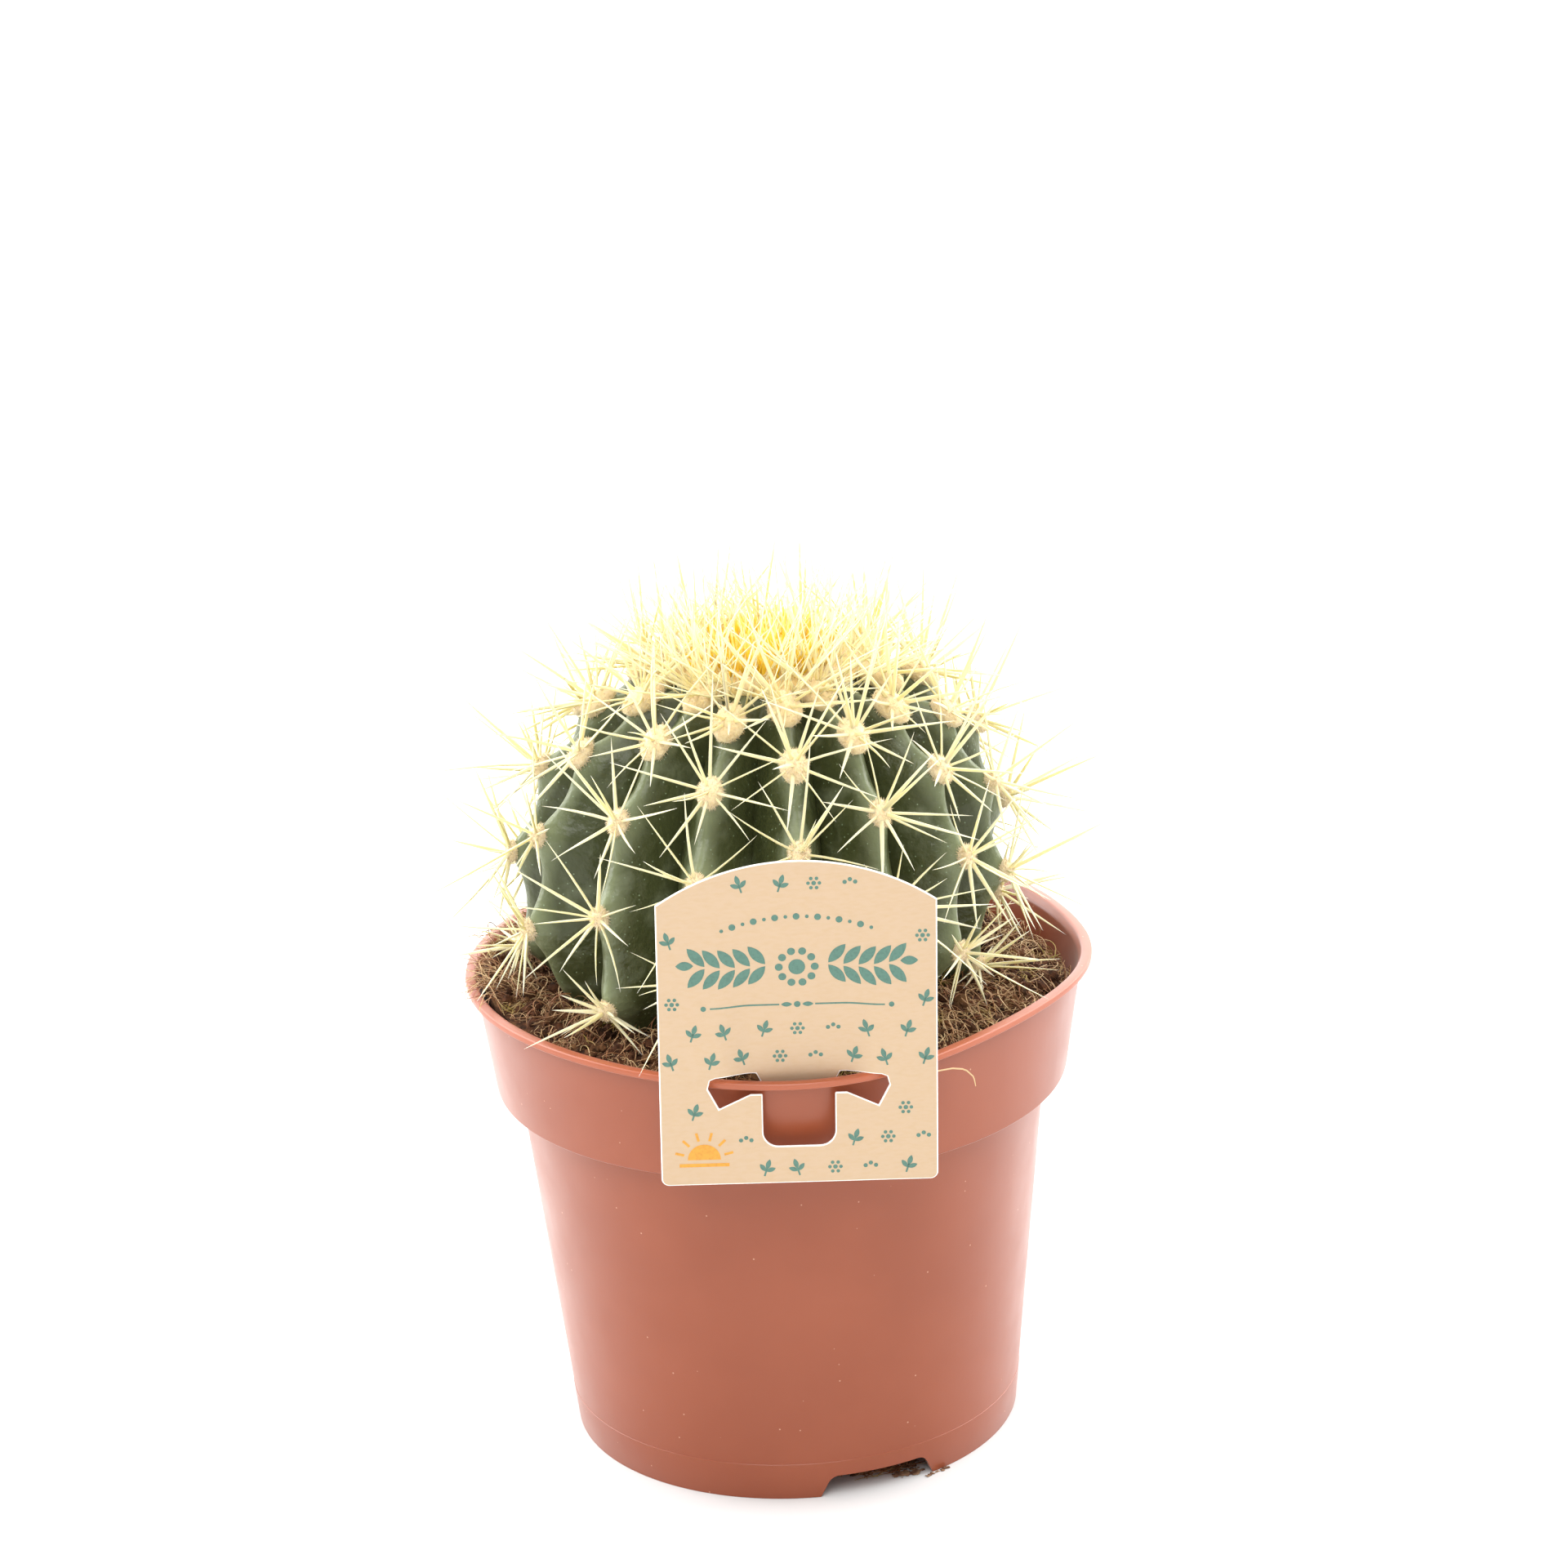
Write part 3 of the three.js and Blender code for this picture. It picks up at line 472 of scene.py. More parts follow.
def deselect_all():
    """Leaves nothing selected, so that an operator acts on the new piece alone."""
    bpy.ops.object.select_all(action="DESELECT")


def activate(piece):
    """Makes a piece the only selected one."""
    deselect_all()
    piece.select_set(True)
    bpy.context.view_layer.objects.active = piece


def mesh_piece(name, points, faces, values=None):
    """A piece from points and faces, with a number for each point under each name in values."""
    if isinstance(faces, np.ndarray):
        faces = faces.tolist()
    mesh = bpy.data.meshes.new(name)
    mesh.from_pydata(np.asarray(points).tolist(), [], faces)
    for key, numbers in (values or {}).items():
        attribute = mesh.attributes.new(key, "FLOAT", "POINT")
        attribute.data.foreach_set("value", np.asarray(numbers, np.float32))
    mesh.validate()
    piece = bpy.data.objects.new(name, mesh)
    bpy.context.scene.collection.objects.link(piece)
    return piece


def move_points(piece, move):
    """Moves a piece's points by a function of an array of points."""
    points = np.empty(len(piece.data.vertices) * 3)
    piece.data.vertices.foreach_get("co", points)
    piece.data.vertices.foreach_set("co", move(points.reshape(-1, 3)).ravel())
    piece.data.update()


def apply_modifier(piece, kind, **settings):
    """Adds a modifier with its settings to a piece and applies it."""
    activate(piece)
    modifier = piece.modifiers.new(kind.title(), kind)
    for key, value in settings.items():
        setattr(modifier, key, value)
    bpy.ops.object.modifier_apply(modifier=modifier.name)


def cut_away(piece, cutter):
    """Takes a closed cutter out of a piece, and removes the cutter."""
    apply_modifier(piece, "BOOLEAN", operation="DIFFERENCE", solver="EXACT", object=cutter)
    bpy.data.objects.remove(cutter)


def turned(name, profile, steps):
    """A closed body of revolution about Z, spun from a line of (radius, height) points."""
    line = bpy.data.meshes.new(name)
    edges = [(i, i + 1) for i in range(len(profile) - 1)]
    line.from_pydata([(radius, 0, height) for radius, height in profile], edges, [])
    piece = bpy.data.objects.new(name, line)
    bpy.context.scene.collection.objects.link(piece)
    activate(piece)
    bpy.ops.object.mode_set(mode="EDIT")
    bpy.ops.mesh.select_all(action="SELECT")
    bpy.ops.mesh.spin(steps=steps, angle=2 * math.pi, center=(0, 0, 0), axis=(0, 0, 1))
    bpy.ops.mesh.select_all(action="SELECT")
    bpy.ops.mesh.remove_doubles(threshold=0.01 * MM)
    bpy.ops.mesh.dissolve_degenerate(threshold=0.001 * MM)
    bpy.ops.mesh.select_all(action="SELECT")
    bpy.ops.mesh.normals_make_consistent(inside=False)
    bpy.ops.object.mode_set(mode="OBJECT")
    return piece


def prism(name, outline, front, back):
    """A flat outline in X and Z as a closed prism from y = front to y = back."""
    piece = mesh_piece(name, [(x, front, z) for x, z in outline], [list(range(len(outline)))])
    activate(piece)
    bpy.ops.object.mode_set(mode="EDIT")
    bpy.ops.mesh.select_all(action="SELECT")
    bpy.ops.mesh.extrude_region_move(TRANSFORM_OT_translate={"value": (0, back - front, 0)})
    bpy.ops.mesh.select_all(action="SELECT")
    bpy.ops.mesh.normals_make_consistent(inside=False)
    bpy.ops.object.mode_set(mode="OBJECT")
    return piece


def model_of(piece):
    """A primitive's points and triangles as arrays, after which it is removed."""
    activate(piece)
    bpy.ops.object.mode_set(mode="EDIT")
    bpy.ops.mesh.select_all(action="SELECT")
    bpy.ops.mesh.normals_make_consistent(inside=False)
    bpy.ops.mesh.quads_convert_to_tris()
    bpy.ops.object.mode_set(mode="OBJECT")
    points = np.array([vertex.co for vertex in piece.data.vertices])
    triangles = np.array([polygon.vertices for polygon in piece.data.polygons])
    bpy.data.objects.remove(piece)
    return points, triangles


def rod_model(sides, levels):
    """A straight rod of radius 1 with its rings at heights 0, 1, 2 and so on."""
    deselect_all()
    bpy.ops.mesh.primitive_circle_add(vertices=sides, radius=1, fill_type="NGON")
    rod = bpy.context.object
    bpy.ops.object.mode_set(mode="EDIT")
    bpy.ops.mesh.select_all(action="SELECT")
    for _ in range(levels - 1):
        bpy.ops.mesh.extrude_region_move(TRANSFORM_OT_translate={"value": (0, 0, 1)})
    bpy.ops.object.mode_set(mode="OBJECT")
    return model_of(rod)


def hair_model():
    """A three-sided hair of radius 1 and height 1."""
    deselect_all()
    bpy.ops.mesh.primitive_cone_add(vertices=3, radius1=1, depth=1, location=(0, 0, 0.5))
    bpy.ops.object.transform_apply()
    return model_of(bpy.context.object)


def lump_model(finer, seed, unevenness, knob=0.8):
    """An uneven lump of radius about 1, with knobs of about the given size on it."""
    deselect_all()
    bpy.ops.mesh.primitive_ico_sphere_add(subdivisions=finer, radius=1)
    points, triangles = model_of(bpy.context.object)
    return points * (1 + unevenness * lumpy(points, knob, seed))[:, None], triangles


def copies(model, placed):
    """The points and triangles of a model's copies, whose points are placed[copy][point]."""
    _, triangles = model
    count, size, _ = placed.shape
    offsets = (np.arange(count) * size)[:, None, None]
    return placed.reshape(-1, 3), (triangles[None] + offsets).reshape(-1, 3)


def swept(model, paths, across, up, widths, heights):
    """Copies of a rod along paths, with a half width and height at each of their points."""
    points, _ = model
    level = np.rint(points[:, 2]).astype(int)
    placed = paths[:, level]
    placed = placed + across[:, level] * (points[:, 0] * widths[:, level])[..., None]
    placed = placed + up[:, level] * (points[:, 1] * heights[:, level])[..., None]
    return copies(model, placed)


def finish_piece(piece, materials, node, angle=35):
    """Gives a piece its materials and its place in the object."""
    for material in materials:
        piece.data.materials.append(material)
    activate(piece)
    bpy.ops.object.shade_smooth_by_angle(angle=math.radians(angle))
    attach(piece, "root")
    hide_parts(node)


# ---- materials ----


def set_sockets(node, sockets):
    """Sets inputs to values, or links them from a node's first output or a (node, output)."""
    for socket, given in dict(sockets).items():
        source = (given, 0) if isinstance(given, bpy.types.Node) else given
        if isinstance(source, tuple) and isinstance(source[0], bpy.types.Node):
            output = source[0].outputs[source[1]]
            node.id_data.links.new(output, node.inputs[socket])
        else:
            node.inputs[socket].default_value = given


def add_node(tree, kind, sockets=(), **settings):
    """Adds a node with its settings, and with the values and links of its inputs."""
    node = tree.nodes.new("ShaderNode" + kind)
    for key, value in settings.items():
        setattr(node, key, value)
    set_sockets(node, sockets)
    return node


def new_material(name):
    """A material with its node tree, its shader, and a point's place on the object."""
    material = bpy.data.materials.new(name)
    material.use_nodes = True
    tree = material.node_tree
    place = (add_node(tree, "TexCoord"), "Object")
    return material, tree, tree.nodes["Principled BSDF"], place


def layered(tree, pattern, low, high, under, over):
    """One colour over another: under where the pattern is at low, and over where it is at high."""
    share = add_node(tree, "MapRange", {"Value": pattern, "From Min": low, "From Max": high})
    # A Mix node has an A, a B and a Result for each kind of value. Its colours are 6, 7 and 2.
    return add_node(tree, "Mix", {0: share, 6: under, 7: over}, data_type="RGBA"), 2


def polypropylene(settings):
    """Injection-moulded polypropylene, thin and satin. It is a little uneven in colour where
    the melt flowed. It is warmer at the thin lip: a painted glow of light through the plastic.
    The potting bench's dust leaves pale specks on it, and a haze that shows where the wall
    turns away."""
    material, tree, shader, place = new_material("moulded_polypropylene")
    axes = add_node(tree, "SeparateXYZ", {"Vector": place})
    dull, glowing = (settings.height - depth for depth in LIP_PAINTED_GLOW)
    # The lip's warmer colour is a painted glow of light through the thin plastic.
    base = layered(tree, (axes, "Z"), dull, glowing, settings.plastic, settings.lip)
    melt = add_node(tree, "TexNoise", {"Vector": place, "Scale": 1 / (26 * MM), "Detail": 3})
    flowed = layered(tree, melt, 0.35, 0.9, base, linear("#954928"))
    motes = add_node(tree, "TexVoronoi", {"Vector": place, "Scale": 1 / (4 * MM)})
    dusty = layered(tree, motes, 0.05, 0.03, flowed, linear("#c08c70"))
    wear = add_node(tree, "TexNoise", {"Vector": place, "Scale": 1 / (9 * MM), "Detail": 4})
    rough = {"Value": wear, "From Min": 0.3, "From Max": 0.75, "To Min": 0.29, "To Max": 0.38}
    grain = add_node(tree, "TexNoise", {"Vector": place, "Scale": 1 / (0.7 * MM)})
    finish = {
        "Base Color": dusty,
        "Roughness": add_node(tree, "MapRange", rough),
        "IOR": 1.53,
        "Sheen Weight": 0.15,
        "Sheen Roughness": 0.4,
        "Normal": add_node(tree, "Bump", {"Height": grain, "Distance": 0.003 * MM}),
    }
    set_sockets(shader, finish)
    return material


def peat(settings):
    """Moist milled peat: nearly black in its pores and brown where crumbs have dried."""
    material, tree, shader, place = new_material("milled_peat")
    crumbs = add_node(tree, "TexNoise", {"Vector": place, "Scale": 1 / (1.4 * MM), "Detail": 5})
    dry = layered(tree, crumbs, 0.35, 0.7, linear("#2b1a0f"), settings.peat)
    patches = add_node(tree, "TexNoise", {"Vector": place, "Scale": 1 / (6 * MM), "Detail": 3})
    patchy = layered(tree, patches, 0.5, 0.75, dry, linear("#7a5837"))
    pores = add_node(tree, "TexNoise", {"Vector": place, "Scale": 1 / (0.6 * MM), "Detail": 4})
    bump = add_node(tree, "Bump", {"Height": pores, "Distance": 0.3 * MM})
    finish = {"Base Color": patchy, "Roughness": 0.95, "Specular IOR Level": 0.2, "Normal": bump}
    set_sockets(shader, finish)
    return material


def dry_bark(settings):
    """Flakes of dried bark and peat: tan where they split, brown on their weathered side.
    The tan is kept pale, so that they show in the shade under the pot: partly painted light.
    """
    material, tree, shader, place = new_material("dry_bark")
    flakes = add_node(tree, "TexNoise", {"Vector": place, "Scale": 1 / (1.2 * MM), "Detail": 3})
    # Partly painted light: the tan is paler than the flakes' own colour, to make up for the shade under
    # the pot.
    split = layered(tree, flakes, 0.4, 0.62, settings.peat, linear("#96775a"))
    cracks = add_node(tree, "TexNoise", {"Vector": place, "Scale": 1 / (0.3 * MM)})
    bump = add_node(tree, "Bump", {"Height": cracks, "Distance": 0.1 * MM})
    set_sockets(shader, {"Base Color": split, "Roughness": 0.9, "Normal": bump})
    return material


def coir(settings):
    """Coconut fibre: each strand has its own brown, from dark bark to dry straw, with a tinge
    of algae here and there. The short fibres are also paler towards the right: painted light."""
    material, tree, shader, place = new_material("coir_fibre")
    tone = (add_node(tree, "Attribute", attribute_name="tone"), "Fac")
    browns = layered(tree, tone, 0.0, 0.55, linear("#4a2c1a"), linear("#8f5c37"))
    strands = layered(tree, tone, 0.55, 1.0, browns, settings.coir)
    algae = add_node(tree, "TexNoise", {"Vector": place, "Scale": 1 / (7 * MM)})
    mossy = layered(tree, algae, 0.57, 0.72, strands, linear("#9a8c36"))
    set_sockets(shader, {"Base Color": mossy, "Roughness": 0.7})
    return material


def cuticle(settings):
    """Waxy cactus skin, paler on the crests than in the furrows as painted highlight, with a
    whitish bloom that is rubbed off in patches, which are glossier, and pale stomata."""
    material, tree, shader, place = new_material("waxy_cuticle")
    crest = (add_node(tree, "Attribute", attribute_name="crest"), "Fac")
    # Painted highlight: paler on the crests and under the areoles than in the furrows.
    ribs = layered(tree, crest, 0.6, 1.1, settings.skin, settings.crest)
    wax = add_node(tree, "TexNoise", {"Vector": place, "Scale": 1 / (7 * MM), "Detail": 5})
    bloomed = layered(tree, wax, 0.54, 1.25, ribs, settings.bloom)
    rough = {"Value": wax, "From Min": 0.54, "From Max": 0.895, "To Min": 0.29, "To Max": 0.46}
    # Stomata are too fine to show, so they are drawn as dots more than a millimetre apart.
    pores = add_node(tree, "TexVoronoi", {"Vector": place, "Scale": 1 / (1.3 * MM)})
    dotted = layered(tree, pores, 0.14, 0.07, bloomed, linear("#7d8c70"))
    dimples = add_node(tree, "TexNoise", {"Vector": place, "Scale": 1 / (3.5 * MM), "Detail": 4})
    finish = {
        "Base Color": dotted,
        "Roughness": add_node(tree, "MapRange", rough),
        "IOR": 1.4,
        "Specular IOR Level": 0.45,
        "Normal": add_node(tree, "Bump", {"Height": dimples, "Distance": 0.75 * MM}),
    }
    set_sockets(shader, finish)
    return material


def spine_horn(settings):
    """Cactus spine: smooth horny fibre, golden where it is young and near its root, and pale
    and a little translucent towards the tip."""
    material, tree, shader, _ = new_material("horny_spine")
    gold = (add_node(tree, "Attribute", attribute_name="gold"), "Fac")
    finish = {
        "Base Color": layered(tree, gold, 0, 1, settings.pale, settings.golden),
        "Roughness": 0.42,
        "IOR": 1.5,
        "Subsurface Weight": 0.6,
        "Subsurface Radius": (1.0, 0.9, 0.5),
        "Subsurface Scale": 1.2 * MM,
    }
    set_sockets(shader, finish)
    return material


def felt(settings):
    """Areole felt: short matted plant hairs, cream at the tips, tan in their depth, and golden
    at the apex of the stem."""
    material, tree, shader, place = new_material("areole_felt")
    tufts = add_node(tree, "TexNoise", {"Vector": place, "Scale": 1 / (0.6 * MM), "Detail": 3})
    tufted = layered(tree, tufts, 0.3, 0.6, linear("#e6cd9c"), settings.felt)
    gold = (add_node(tree, "Attribute", attribute_name="gold"), "Fac")
    nap = add_node(tree, "TexNoise", {"Vector": place, "Scale": 1 / (0.35 * MM)})
    finish = {
        "Base Color": layered(tree, gold, 0, 1, tufted, settings.golden),
        "Roughness": 0.9,
        "Sheen Weight": 0.3,
        "Subsurface Weight": 0.3,
        "Subsurface Radius": (1.0, 0.8, 0.4),
        "Subsurface Scale": 1.0 * MM,
        "Normal": add_node(tree, "Bump", {"Height": nap, "Distance": 0.2 * MM}),
    }
    set_sockets(shader, finish)
    return material


def kraft_print(settings):
    """The card's face: a printed kraft tone, matt, with a trace of paper fibre. The fibres are
    drawn coarser than real ones, so that they show."""
    material, tree, shader, place = new_material("kraft_print")
    stretched = add_node(tree, "Mapping", {"Vector": place, "Scale": (1.0, 1.0, 3.0)})
    grain = add_node(tree, "TexNoise", {"Vector": stretched, "Scale": 1 / (1.6 * MM), "Detail": 4})
    paper = layered(tree, grain, 0.4, 0.9, settings.face, linear("#bfa280"))
    bump = add_node(tree, "Bump", {"Height": grain, "Distance": 0.01 * MM})
    set_sockets(shader, {"Base Color": paper, "Roughness": 0.62, "Normal": bump})
    return material


def white_board(settings):
    """Solid bleached board, seen at the die's cuts and on the back, with faint flecks of pulp."""
    material, tree, shader, place = new_material("bleached_board")
    pulp = add_node(tree, "TexNoise", {"Vector": place, "Scale": 1 / (0.8 * MM), "Detail": 3})
    board = layered(tree, pulp, 0.35, 0.7, settings.core, linear("#e7e2da"))
    set_sockets(shader, {"Base Color": board, "Roughness": 0.8})
    return material


def ink(name, tint):
    """Offset ink on board: an even tint, a little deeper where it sank into the paper's grain."""
    material, tree, shader, place = new_material(name)
    deep = tuple(channel * INK_DEPTH for channel in tint[:3]) + (1.0,)
    grain = add_node(tree, "TexNoise", {"Vector": place, "Scale": 1 / (0.5 * MM)})
    printed = layered(tree, grain, 0.45, 0.7, tint, deep)
    set_sockets(shader, {"Base Color": printed, "Roughness": 0.55})
    return material


def matt_floor(settings):
    """Matt white sweep paper, with broad and very faint clouds."""
    material, tree, shader, place = new_material("sweep_paper")
    clouds = add_node(tree, "TexNoise", {"Vector": place, "Scale": 1 / CLOUD_SIZE})
    paper = layered(tree, clouds, 0.3, 0.7, settings.floor, linear("#d6d6d5"))
    set_sockets(shader, {"Base Color": paper, "Roughness": 0.9, "Specular IOR Level": 0.2})
    return material


# ---- pot ----


def rim_push(direction):
    """How far the rim is pushed outwards, by direction in degrees."""
    away = [(direction - centre + 540) % 360 - 180 for centre, _, _ in RIM_PUSHES]
    return sum(
        push * np.exp(-0.5 * (off / width) ** 2) for off, (_, push, width) in zip(away, RIM_PUSHES)
    )


def squeezed(points, pot):
    """Points with the squeeze of the rim, which dies out down the collar."""
    radius = np.hypot(points[:, 0], points[:, 1])
    share = np.clip((points[:, 2] - pot.collar_height) / (pot.height - pot.collar_height), 0, None)
    share = np.where(radius < UNPUSHED, 0, share)
    push = rim_push(np.degrees(np.arctan2(points[:, 1], points[:, 0]))) * share
    grown = points.copy()
    grown[:, :2] *= (1 + push / np.maximum(radius, MM))[:, None]
    return grown


def rounded_corner(before, corner, after, radius, steps=3):
    """Points of a small round in place of a corner of a profile."""
    before, corner, after = (np.array(point) for point in (before, corner, after))
    start = corner + unit(before - corner) * radius
    end = corner + unit(after - corner) * radius
    shares = np.linspace(0, 1, steps + 1)[:, None]
    curve = (1 - shares) ** 2 * start + 2 * shares * (1 - shares) * corner + shares**2 * end
    return [tuple(point) for point in curve]


def pot_profile(pot):
    """The pot's closed section, from its floor's underside out and back over the lip."""
    lip_underside = pot.height - pot.lip_height
    floor_top = FLOOR_UNDERSIDE + FLOOR_THICKNESS
    line_radius = pot.foot + (pot.body_top - pot.foot) / pot.collar_height * FOOT_LINE_HEIGHT
    corners = [
        ((0, FLOOR_UNDERSIDE), 0),
        ((pot.foot - FOOT_RING_WIDTH, FLOOR_UNDERSIDE), EDGE_ROUND),
        ((pot.foot - FOOT_RING_WIDTH, 0), EDGE_ROUND / 2),
        ((pot.foot, 0), EDGE_ROUND / 2),
        ((line_radius, FOOT_LINE_HEIGHT), 0),
        ((line_radius - FOOT_LINE_STEP, FOOT_LINE_HEIGHT + FOOT_LINE_STEP), 0),
        ((pot.body_top, pot.collar_height), EDGE_ROUND),
        ((pot.collar_foot, pot.collar_height), 2 * EDGE_ROUND),
        ((pot.collar_top, lip_underside), EDGE_ROUND),
        ((pot.lip_radius, lip_underside), LIP_ROUND),
        ((pot.lip_radius, pot.height), LIP_ROUND),
        ((pot.lip_radius - pot.lip_width, pot.height), LIP_ROUND),
        ((pot.collar_top - pot.wall, lip_underside - LIP_ROUND), EDGE_ROUND),
        ((pot.collar_foot - pot.wall, pot.collar_height + pot.wall), EDGE_ROUND),
        ((pot.body_top - pot.wall, pot.collar_height + pot.wall), EDGE_ROUND),
        ((line_radius - pot.wall, floor_top), 2 * EDGE_ROUND),
        ((0, floor_top), 0),
    ]
    points = [corner for corner, _ in corners]
    profile = []
    for i, (corner, radius) in enumerate(corners):
        if radius:
            profile += rounded_corner(points[i - 1], corner, points[i + 1], radius)
        else:
            profile.append(corner)
    return profile


def notch_cutter(pot, turn):
    """A prism through the foot ring, whose ends slant and are rounded at the top."""
    low, high, top = NOTCH_WIDTH[0] / 2, NOTCH_WIDTH[1] / 2, FLOOR_UNDERSIDE
    corners = [(low + (low - high) / 4, -top / 4), (high, top), (-high, top)]
    right = [corners[0], *rounded_corner(*corners, NOTCH_ROUND, 6)]
    outline = right + [(-x, z) for x, z in right[::-1]]
    cutter = prism("notch", outline, -pot.foot - NOTCH_REACH, -pot.foot + NOTCH_REACH)
    spin = np.array(Matrix.Rotation(turn + math.pi / 2, 3, "Z")).T
    move_points(cutter, lambda points: points @ spin)
    return cutter


def drain_cutter(turn):
    """A round hole through the pot's floor."""
    deselect_all()
    place = (DRAIN_CIRCLE * math.cos(turn), DRAIN_CIRCLE * math.sin(turn), FLOOR_UNDERSIDE)
    bpy.ops.mesh.primitive_cylinder_add(
        vertices=32, radius=DRAIN_RADIUS, depth=DRAIN_REACH, location=place
    )
    bpy.ops.object.transform_apply()
    return bpy.context.object


class CACTUS_OT_pot(Operator):
    """Builds the plastic pot with its collar, lip, foot notches and drain holes"""

    bl_idname = "cactus.pot"
    bl_label = "Pot"

    def execute(self, context):
        pot = context.scene.cactus_pot
        piece = turned("growing_pot", pot_profile(pot), POT_STEPS)
        move_points(piece, lambda points: squeezed(points, pot))
        for turn in NOTCH_DIRECTIONS:
            cut_away(piece, notch_cutter(pot, turn))
            cut_away(piece, drain_cutter(turn))
        finish_piece(piece, [polypropylene(pot)], "pot", 25)
        return {"FINISHED"}


# ---- compost ----


def compost_level(x, y, compost, pot):
    """Height of the compost's surface, without its roughness."""
    direction = np.degrees(np.arctan2(y, x))
    after = np.clip(np.searchsorted(EDGE_DIRECTIONS, direction), 1, len(EDGE_DIRECTIONS) - 1)
    starts, heights = np.array(EDGE_DIRECTIONS), np.array(EDGE_HEIGHTS)
    share = smooth(starts[after - 1], starts[after], direction)
    edge = heights[after - 1] + (heights[after] - heights[after - 1]) * share
    outwards = smooth(MOUND_RADIUS, pot.collar_top, np.hypot(x, y))
    return compost.stem_height + (edge - compost.stem_height) * outwards


def compost_surface(x, y, compost, pot):
    """Height of the rough surface: heaps a centimetre across with clods on them."""
    flat = np.stack([x, y, np.zeros_like(x)], -1)
    rough = lumpy(flat, HEAP_SIZE, seed=3) + CLOD_HEIGHT * lumpy(flat, CLOD_SIZE, seed=7)
    return compost_level(x, y, compost, pot) + compost.roughness * rough


def wall_radius(heights, pot):
    """Inner radius of the collar's room for compost at given heights."""
    share = (heights - pot.collar_height) / (pot.height - pot.lip_height - pot.collar_height)
    clear = pot.wall + COMPOST_GAP
    return pot.collar_foot - clear + (pot.collar_top - pot.collar_foot) * share


def compost_body(compost, pot):
    """The whole filling of the pot, with its rough top."""
    clear = pot.wall + COMPOST_GAP
    floor = FLOOR_UNDERSIDE + FLOOR_THICKNESS + COMPOST_GAP
    ledge = pot.collar_height + pot.wall + COMPOST_GAP
    top = pot.height
    rings = np.arange(pot.collar_top - clear, COMPOST_CORE, -COMPOST_RINGS)
    profile = [
        (0, floor),
        (pot.foot - clear, floor),
        (pot.body_top - clear, ledge),
        (pot.collar_foot - clear, ledge),
        *[(radius, top) for radius in rings],
        (0, top),
    ]
    piece = turned("compost_body", profile, POT_STEPS)

    def shape(points):
        """Raises the flat top to the rough surface, kept inside the wall."""
        raised = points.copy()
        on_top = points[:, 2] > top - MM / 10
        x, y = points[on_top, 0], points[on_top, 1]
        raised[on_top, 2] = compost_surface(x, y, compost, pot)
        radius = np.hypot(x, y)
        limit = wall_radius(raised[on_top, 2], pot)
        shrink = np.minimum(1, limit / np.maximum(radius, MM))
        raised[on_top, :2] *= shrink[:, None]
        return squeezed(raised, pot)

    move_points(piece, shape)
    return piece


def open_ground(rng, count, inner, outer):
    """Random places on the compost, in a ring round the pot's axis."""
    radius = np.sqrt(rng.uniform(inner**2, outer**2, count))
    turn = rng.uniform(-math.pi, math.pi, count)
    return radius * np.cos(turn), radius * np.sin(turn)


def crumb_piece(name, rng, places, sizes, stretch):
    """Crumbs of peat at given places, each turned its own way and stretched along its axes."""
    model = lump_model(2, seed=5, unevenness=0.5, knob=0.55)
    count = len(places)
    spins = [
        np.array(Matrix.Rotation(turn, 3, "Z") @ Matrix.Rotation(turn * 2, 3, "X"))
        for turn in rng.uniform(0, 2 * math.pi, count)
    ]
    shapes = rng.uniform(0.7, 1.2, (count, 1, 3)) * sizes[:, None, None]
    placed = np.einsum("kij,knj->kni", np.array(spins), model[0][None] * shapes) * stretch
    return mesh_piece(name, *copies(model, placed + places[:, None]))


def surface_crumbs(compost, pot, rng):
    """Loose crumbs of peat that lie half sunk in the surface."""
    sizes = rng.uniform(0.5, 1.0, compost.crumbs) ** 3 * CRUMB_SIZE
    x, y = open_ground(rng, compost.crumbs, *OPEN_GROUND)
    z = compost_surface(x, y, compost, pot) + sizes * rng.uniform(0.1, 1.0, compost.crumbs)
    places = squeezed(np.stack([x, y, z], -1), pot)
    return crumb_piece("peat_crumbs", rng, places, sizes, 1.0)


def fallen_litter(compost, rng):
    """Flat flakes of bark and peat that fell out under the front notch."""
    places, sizes = [], []
    for share, directions, radii, largest in LITTER_PLACES:
        count = round(share * compost.litter)
        size = rng.uniform(0.3, 1.0, count) ** 1.5 * largest
        turn, radius = np.radians(rng.uniform(*directions, count)), rng.uniform(*radii, count)
        places.append(
            np.stack([radius * np.cos(turn), radius * np.sin(turn), size * FLAKE_REST], -1)
        )
        sizes.append(size)
    places, sizes = np.concatenate(places), np.concatenate(sizes)
    return crumb_piece("fallen_litter", rng, places, sizes, FLAKE_STRETCH)


def strand_paths(x, y, turn, reach, curl, lift, levels):
    """Curved paths from (x, y) over level ground, each lifted in an arch."""
    shares = np.linspace(0, 1, levels)
    heading = turn[:, None] + curl[:, None] * (shares - 0.5)
    step = (reach / (levels - 1))[:, None]
    xs = x[:, None] + np.cumsum(np.cos(heading) * step, 1)
    ys = y[:, None] + np.cumsum(np.sin(heading) * step, 1)
    return np.stack([xs, ys, lift[:, None] * np.sin(shares * math.pi * 0.8 + 0.25)], -1)


